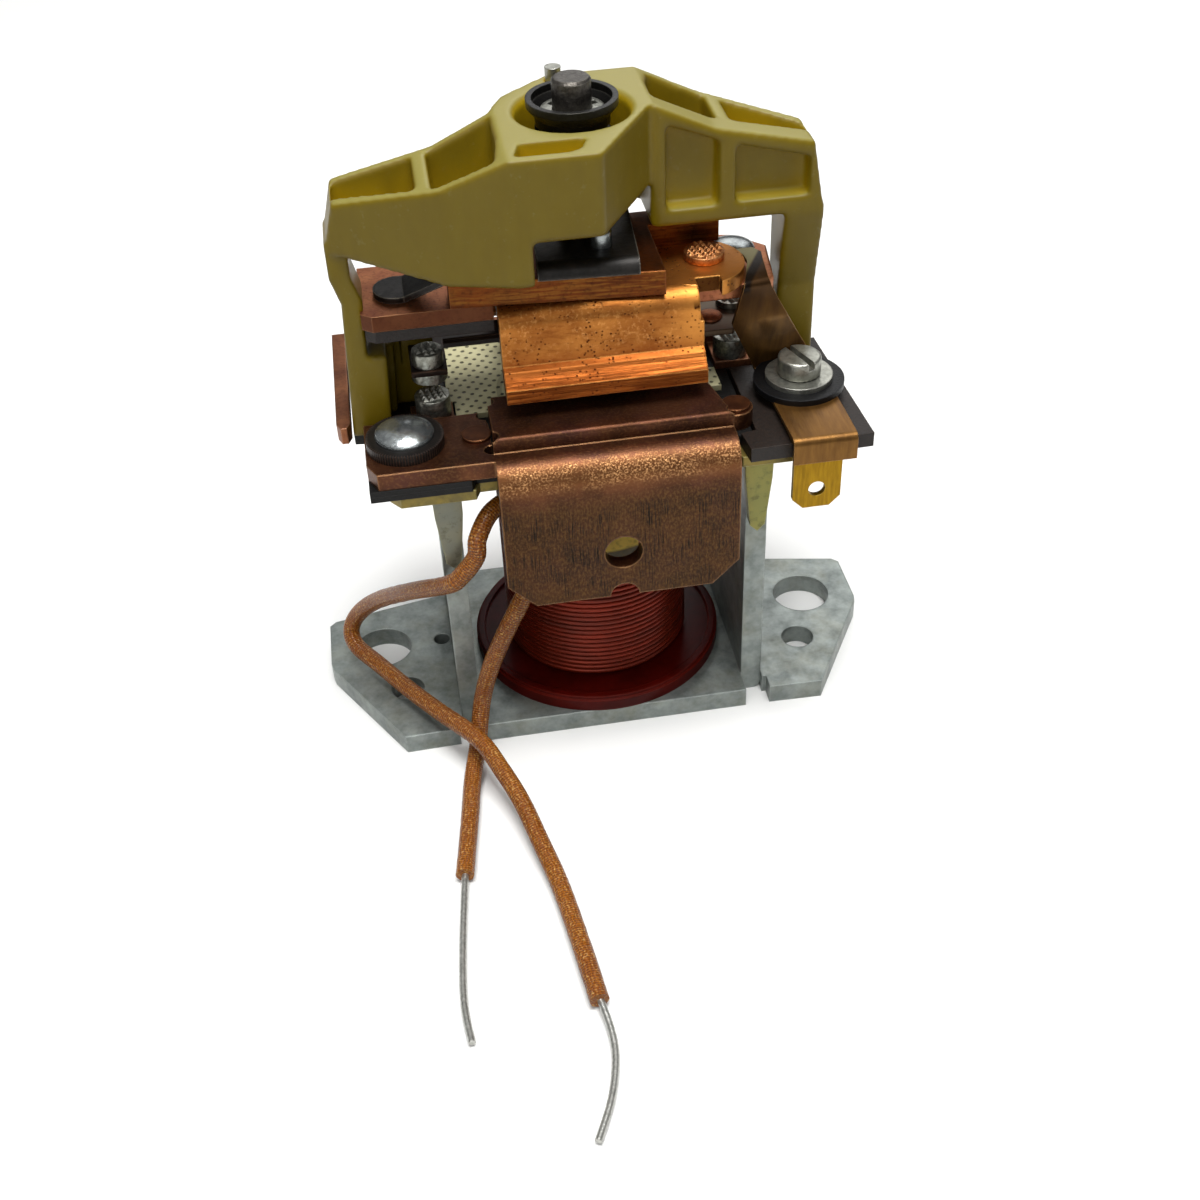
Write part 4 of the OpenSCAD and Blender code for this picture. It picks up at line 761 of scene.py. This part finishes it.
for which in ("long", "short"):
    line = throughPoints(leads[which], leads["steps"]["sleeve"])
    sleeve, length = roundWire(which + "Sleeve", line, leads["sleeve"] / 2, leads["sides"]["sleeve"],
                               braidSwell)
    settle(sleeve, which + "Sleeve", "frame", "braid")
    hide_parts(which + "_lead")
    endLine = throughPoints(leads[which + "End"], leads["steps"]["wire"])
    wireEnd, bare = roundWire(which + "Wire", endLine, leads["wire"] / 2, leads["sides"]["wire"])
    settle(wireEnd, which + "Wire", "frame", "tinned")
    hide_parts(which + "_wire_end")
    print(which, "lead:", round(length, 1), "mm of sleeve and", round(bare, 1), "mm of wire")


# Coil, its tape and the return spring
coil = {"low": 4.95, "high": 40.05, "radius": 13.2, "wire": 0.8, "pitch": 0.808, "steps": 48}
turnCount = int((coil["high"] - coil["low"] - coil["wire"]) / coil["pitch"])
fineTurns = woundWire(coil["radius"], coil["wire"], coil["low"], 2 * math.pi, coil["pitch"], coil["steps"],
                      turnCount)
settle(fineTurns, "fineTurns", "frame", "wire")
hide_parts("winding")
print("coil:", turnCount, "turns in the outer layer")

tape = {"from": -101, "to": -70, "low": 26.0, "high": 30.2, "radius": 13.3, "thickness": 0.12, "columns": 4,
        "rows": 10}
rows = []
for k in range(tape["rows"] + 1):
    angle = math.radians(tape["from"] + (tape["to"] - tape["from"]) * k / tape["rows"])
    x, y = tape["radius"] * math.cos(angle), tape["radius"] * math.sin(angle)
    rows.append(((x, y, tape["low"]), (x, y, tape["high"])))
patch = bentSheet(rows, tape["columns"], tape["thickness"])
settle(patch, "tapePatch", "frame", "tape")

curl = {"low": 76.0, "high": 82.0, "radius": 4.6, "wire": 0.9, "curls": 3.5, "steps": 112}
rise = curl["high"] - curl["low"] - curl["wire"]
curls = woundWire(curl["radius"], curl["wire"], curl["low"], 2 * math.pi * curl["curls"], rise,
                  curl["steps"], sides=12)
settle(curls, "returnCurls", "frame", "black")
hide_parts("return_spring")
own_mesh(curls)
print("return spring ready")


# Arch
# A moulding has soft edges everywhere, so a merged copy of the source's arch is remeshed and relaxed
moulding = {"weld": 0.001, "grain": 0.31, "passes": 9, "strength": 0.5}
leftLeg = {"beyond": -24, "foot": 45.5, "knee": 64, "top": 67.5, "inwards": 1.0}
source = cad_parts["arch"]
arch = bpy.data.objects.new("softArch", source.data.copy())
arch.matrix_world = source.matrix_world.copy()
bpy.context.scene.collection.objects.link(arch)
pickAlone(arch)
bpy.ops.object.mode_set(mode="EDIT")
bpy.ops.mesh.select_all(action="SELECT")
bpy.ops.mesh.remove_doubles(threshold=moulding["weld"] * mm)
bpy.ops.object.mode_set(mode="OBJECT")
applyModifier(arch, "REMESH", mode="VOXEL", voxel_size=moulding["grain"] * mm, use_smooth_shade=True)
applyModifier(arch, "SMOOTH", factor=moulding["strength"], iterations=moulding["passes"])
# the left leg leans in towards its knee, and runs back out under the arm
for vert in arch.data.vertices:
    x, z = vert.co.x / mm, vert.co.z / mm
    if x < leftLeg["beyond"] and z < leftLeg["top"]:
        below = (z - leftLeg["foot"]) / (leftLeg["knee"] - leftLeg["foot"])
        above = (leftLeg["top"] - z) / (leftLeg["top"] - leftLeg["knee"])
        lean = min(below, above)
        vert.co.x += leftLeg["inwards"] * lean * mm
settle(arch, "softArch", "frame", "resin")
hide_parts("arch")
print("arch ready:", len(arch.data.polygons), "faces")


# Bronze leaf under the terminal screw
bronzeLeaf = {
    "rows": [((23.2, -20.5, 43.3), (31.4, -20.5, 43.3)), ((23.2, -20.5, 46.6), (31.4, -20.5, 46.6)),
             ((23.0, -14.0, 46.6), (31.3, -14.0, 46.6)), ((22.5, -2.2, 46.6), (30.9, -0.6, 46.6)),
             ((20.31, -4.0, 51.57), (28.12, -2.2, 51.67)), ((18.45, -5.9, 55.7), (25.77, -5.6, 56.2)),
             ((18.89, -7.0, 59.1), (24.24, -6.3, 59.1)), ((19.3, -8.0, 62.15), (22.75, -6.95, 62.0)),
             ((20.3, -5.0, 62.3), (22.95, -4.6, 62.2)), ((21.1, -2.2, 62.3), (23.2, -1.8, 62.3)),
             ((21.0, -0.6, 62.3), (23.45, -0.1, 62.3)), ((20.2, 1.3, 62.3), (22.6, 1.3, 62.3))],
    "columns": 4, "thickness": 0.5, "fold": 0.7,
    "screw": (27.2, -7.2), "hole": 2.1, "holeLow": 45, "holeHigh": 48,
}
leaf = bentSheet(bronzeLeaf["rows"], bronzeLeaf["columns"], bronzeLeaf["thickness"], bronzeLeaf["fold"])
cutAway(leaf, roundBar(bronzeLeaf["screw"], bronzeLeaf["hole"], bronzeLeaf["holeLow"],
                       bronzeLeaf["holeHigh"]))
settle(leaf, "bronzeLeaf", "frame", "bronze")
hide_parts("auxiliary_spring")
print("bronze leaf ready")


# Terminal screw
screw = {"at": (27.2, -7.2), "head": 2.83, "headLow": 48.4, "headHigh": 51.0, "shank": 1.9, "round": 0.35,
         "shankRound": 0.2, "slotWide": 0.9, "slotDeep": 1.0, "slotTurn": -70}
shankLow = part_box("terminal_screw")[0].z / mm
head = roundBar(screw["at"], screw["head"], screw["headLow"], screw["headHigh"], 64)
softenEdges(head, screw["round"], 3)
bpy.ops.object.select_all(action="DESELECT")
bpy.ops.mesh.primitive_cube_add(size=1, location=Vector((*screw["at"], screw["headHigh"])) * mm,
                                rotation=(0, 0, math.radians(screw["slotTurn"])))
cutter = bpy.context.object
bpy.ops.object.mode_set(mode="EDIT")
bpy.ops.mesh.select_all(action="SELECT")
bpy.ops.transform.resize(value=(3 * screw["head"] * mm, screw["slotWide"] * mm, 2 * screw["slotDeep"] * mm),
                         orient_type="LOCAL", center_override=cutter.location)
bpy.ops.object.mode_set(mode="OBJECT")
cutAway(head, cutter)
shank = roundBar(screw["at"], screw["shank"], shankLow, screw["headLow"])
softenEdges(shank, screw["shankRound"])
head = joinCopies([head, shank])
bpy.ops.object.shade_smooth_by_angle(angle=math.radians(smooth["parts"]))
settle(head, "slottedScrew", "frame", "steel")
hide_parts("terminal_screw")
print("terminal screw ready")


# Plates of the contact bridge
plates = {
    "rightArm": {"corners": [(12.2, -5.3), (22.8, -5.3), (24.2, -4.0), (25.3, 4.6), (21.5, 8.6),
                             (19.6, 9.0), (12.2, 8.9)],
                 "low": 59.0, "high": 61.0, "edge": 0.25, "slot": "salmon_copper", "finish": "salmon",
                 "for": "right_arm"},
    "contactLeaf": {"corners": [(-22.7, -5.7), (-18.1, -5.7), (-18.1, 2), (-4.5, 2), (-4.5, -3.6),
                                (19.2, -3.6), (20.2, -2.2), (22.7, -1.2), (22.7, 5.7), (-22.7, 5.7)],
                    "low": 53.0, "high": 53.8, "edge": 0.15, "slot": "dark_copper", "finish": "blackenedAndShadedLeaf",
                    "for": "contact_leaf", "hole": 2.6},
}
for name, about in plates.items():
    plate = flatPlate(about["corners"], about["low"], about["high"])
    if "hole" in about:
        cutAway(plate, roundBar((0, 0), about["hole"], about["low"] - 1, about["high"] + 1))
    softenEdges(plate, about["edge"])
    settle(plate, name, "contact_bridge", about["finish"])
    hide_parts(about["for"])
print("bridge plates ready")


# Knurled heads: contacts and the lobe's rivet
knurl = {"pitch": 0.78, "high": 0.34, "turn": 12, "share": 0.92, "foot": 0.69, "tip": 0.12, "margin": 0.45,
         "sides": 40, "edge": 0.15}
contactAt = (20.4, 3.4)
# the points of the fixed contacts end where the moving contacts come to rest
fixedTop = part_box("fixed_contacts")[1].z / mm - knurl["high"]
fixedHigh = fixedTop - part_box("fixed_contacts")[0].z / mm
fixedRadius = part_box("fixed_contacts")[1].x / mm - contactAt[0]
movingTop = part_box("moving_contacts")[1].z / mm
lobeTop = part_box("contact_blade")[1].z / mm
heads = {
    "fixedKnurlLeft": {"top": (-contactAt[0], -contactAt[1], fixedTop), "radius": fixedRadius,
                       "body": "frame", "slot": "silver", "finish": "contact", "drum": fixedHigh,
                       "for": "fixed_contacts"},
    "fixedKnurlRight": {"top": (*contactAt, fixedTop), "radius": fixedRadius, "body": "frame",
                        "slot": "silver", "finish": "contact", "drum": fixedHigh, "for": "fixed_contacts"},
    "movingKnurlLeft": {"top": (-contactAt[0], -contactAt[1], 55.7), "radius": 2.0,
                        "body": "contact_bridge", "slot": "silver", "finish": "contact", "drum": 2.0},
    "movingKnurlRight": {"top": (*contactAt, movingTop), "radius": 2.0, "body": "contact_bridge",
                         "slot": "silver", "finish": "contact"},
    "lobeRivet": {"top": (15.8, -0.9, lobeTop + 1.0), "radius": 2.6, "body": "contact_bridge",
                  "slot": "bright_copper", "finish": "copperKnurl", "drum": 1.0},
}
for name, about in heads.items():
    x, y, top = about["top"]
    made = []
    if "drum" in about:
        made.append(roundBar((x, y), about["radius"], top - about["drum"], top, knurl["sides"]))
        softenEdges(made[0], knurl["edge"])
    bpy.ops.object.select_all(action="DESELECT")
    bpy.ops.mesh.primitive_cone_add(vertices=4, radius1=knurl["pitch"] * knurl["foot"] * mm,
                                    radius2=knurl["pitch"] * knurl["tip"] * mm, depth=knurl["high"] * mm,
                                    location=(0, 0, 0), rotation=(0, 0, math.radians(45 + knurl["turn"])))
    point = bpy.context.object
    reach = int(about["radius"] / knurl["pitch"]) + 1
    spin = Matrix.Rotation(math.radians(knurl["turn"]), 2)
    for i in range(-reach, reach + 1):
        for j in range(-reach, reach + 1):
            step = spin @ Vector(((i + 0.5) * knurl["pitch"], (j + 0.5) * knurl["pitch"]))
            if step.length + knurl["pitch"] * knurl["margin"] > about["radius"] * knurl["share"]:
                continue
            copy = point.copy()
            copy.data = point.data.copy()
            copy.location = Vector((x + step.x, y + step.y, top + knurl["high"] / 2)) * mm
            bpy.context.scene.collection.objects.link(copy)
            made.append(copy)
    bpy.data.objects.remove(point)
    head = settle(joinCopies(made), name, about["body"], about["finish"])
    if "for" in about:
        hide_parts(about["for"])
print("knurled heads ready")


# Small rivets on the bridge arm and the contact leaf
domes = {
    "armRivet": {"top": (20.6, 4.5, 61.0), "radius": 3.1, "rise": 1.2, "slot": "dome_zinc",
                 "finish": "rivetZinc"},
    "leafRivet": {"top": (16.9, 0.3, 53.8), "radius": 1.7, "rise": 0.6, "slot": "salmon_copper",
                  "finish": "salmon"},
}
for name, dome in domes.items():
    middle = Vector(dome["top"]) * mm
    bpy.ops.object.select_all(action="DESELECT")
    bpy.ops.mesh.primitive_uv_sphere_add(segments=40, ring_count=20, radius=dome["radius"] * mm,
                                         location=middle)
    cap = bpy.context.object
    bpy.ops.object.mode_set(mode="EDIT")
    bpy.ops.mesh.select_all(action="DESELECT")
    bpy.ops.object.mode_set(mode="OBJECT")
    for vert in cap.data.vertices:
        vert.select = vert.co.z < -0.01 * mm
    bpy.ops.object.mode_set(mode="EDIT")
    bpy.ops.mesh.delete(type="VERT")
    bpy.ops.mesh.select_all(action="SELECT")
    bpy.ops.mesh.fill_holes(sides=0)
    bpy.ops.transform.resize(value=(1, 1, dome["rise"] / dome["radius"]), center_override=middle)
    bpy.ops.object.mode_set(mode="OBJECT")
    bpy.ops.object.shade_smooth_by_angle(angle=math.radians(smooth["domes"]))
    settle(cap, name, "contact_bridge", dome["finish"])
print("small rivets ready")
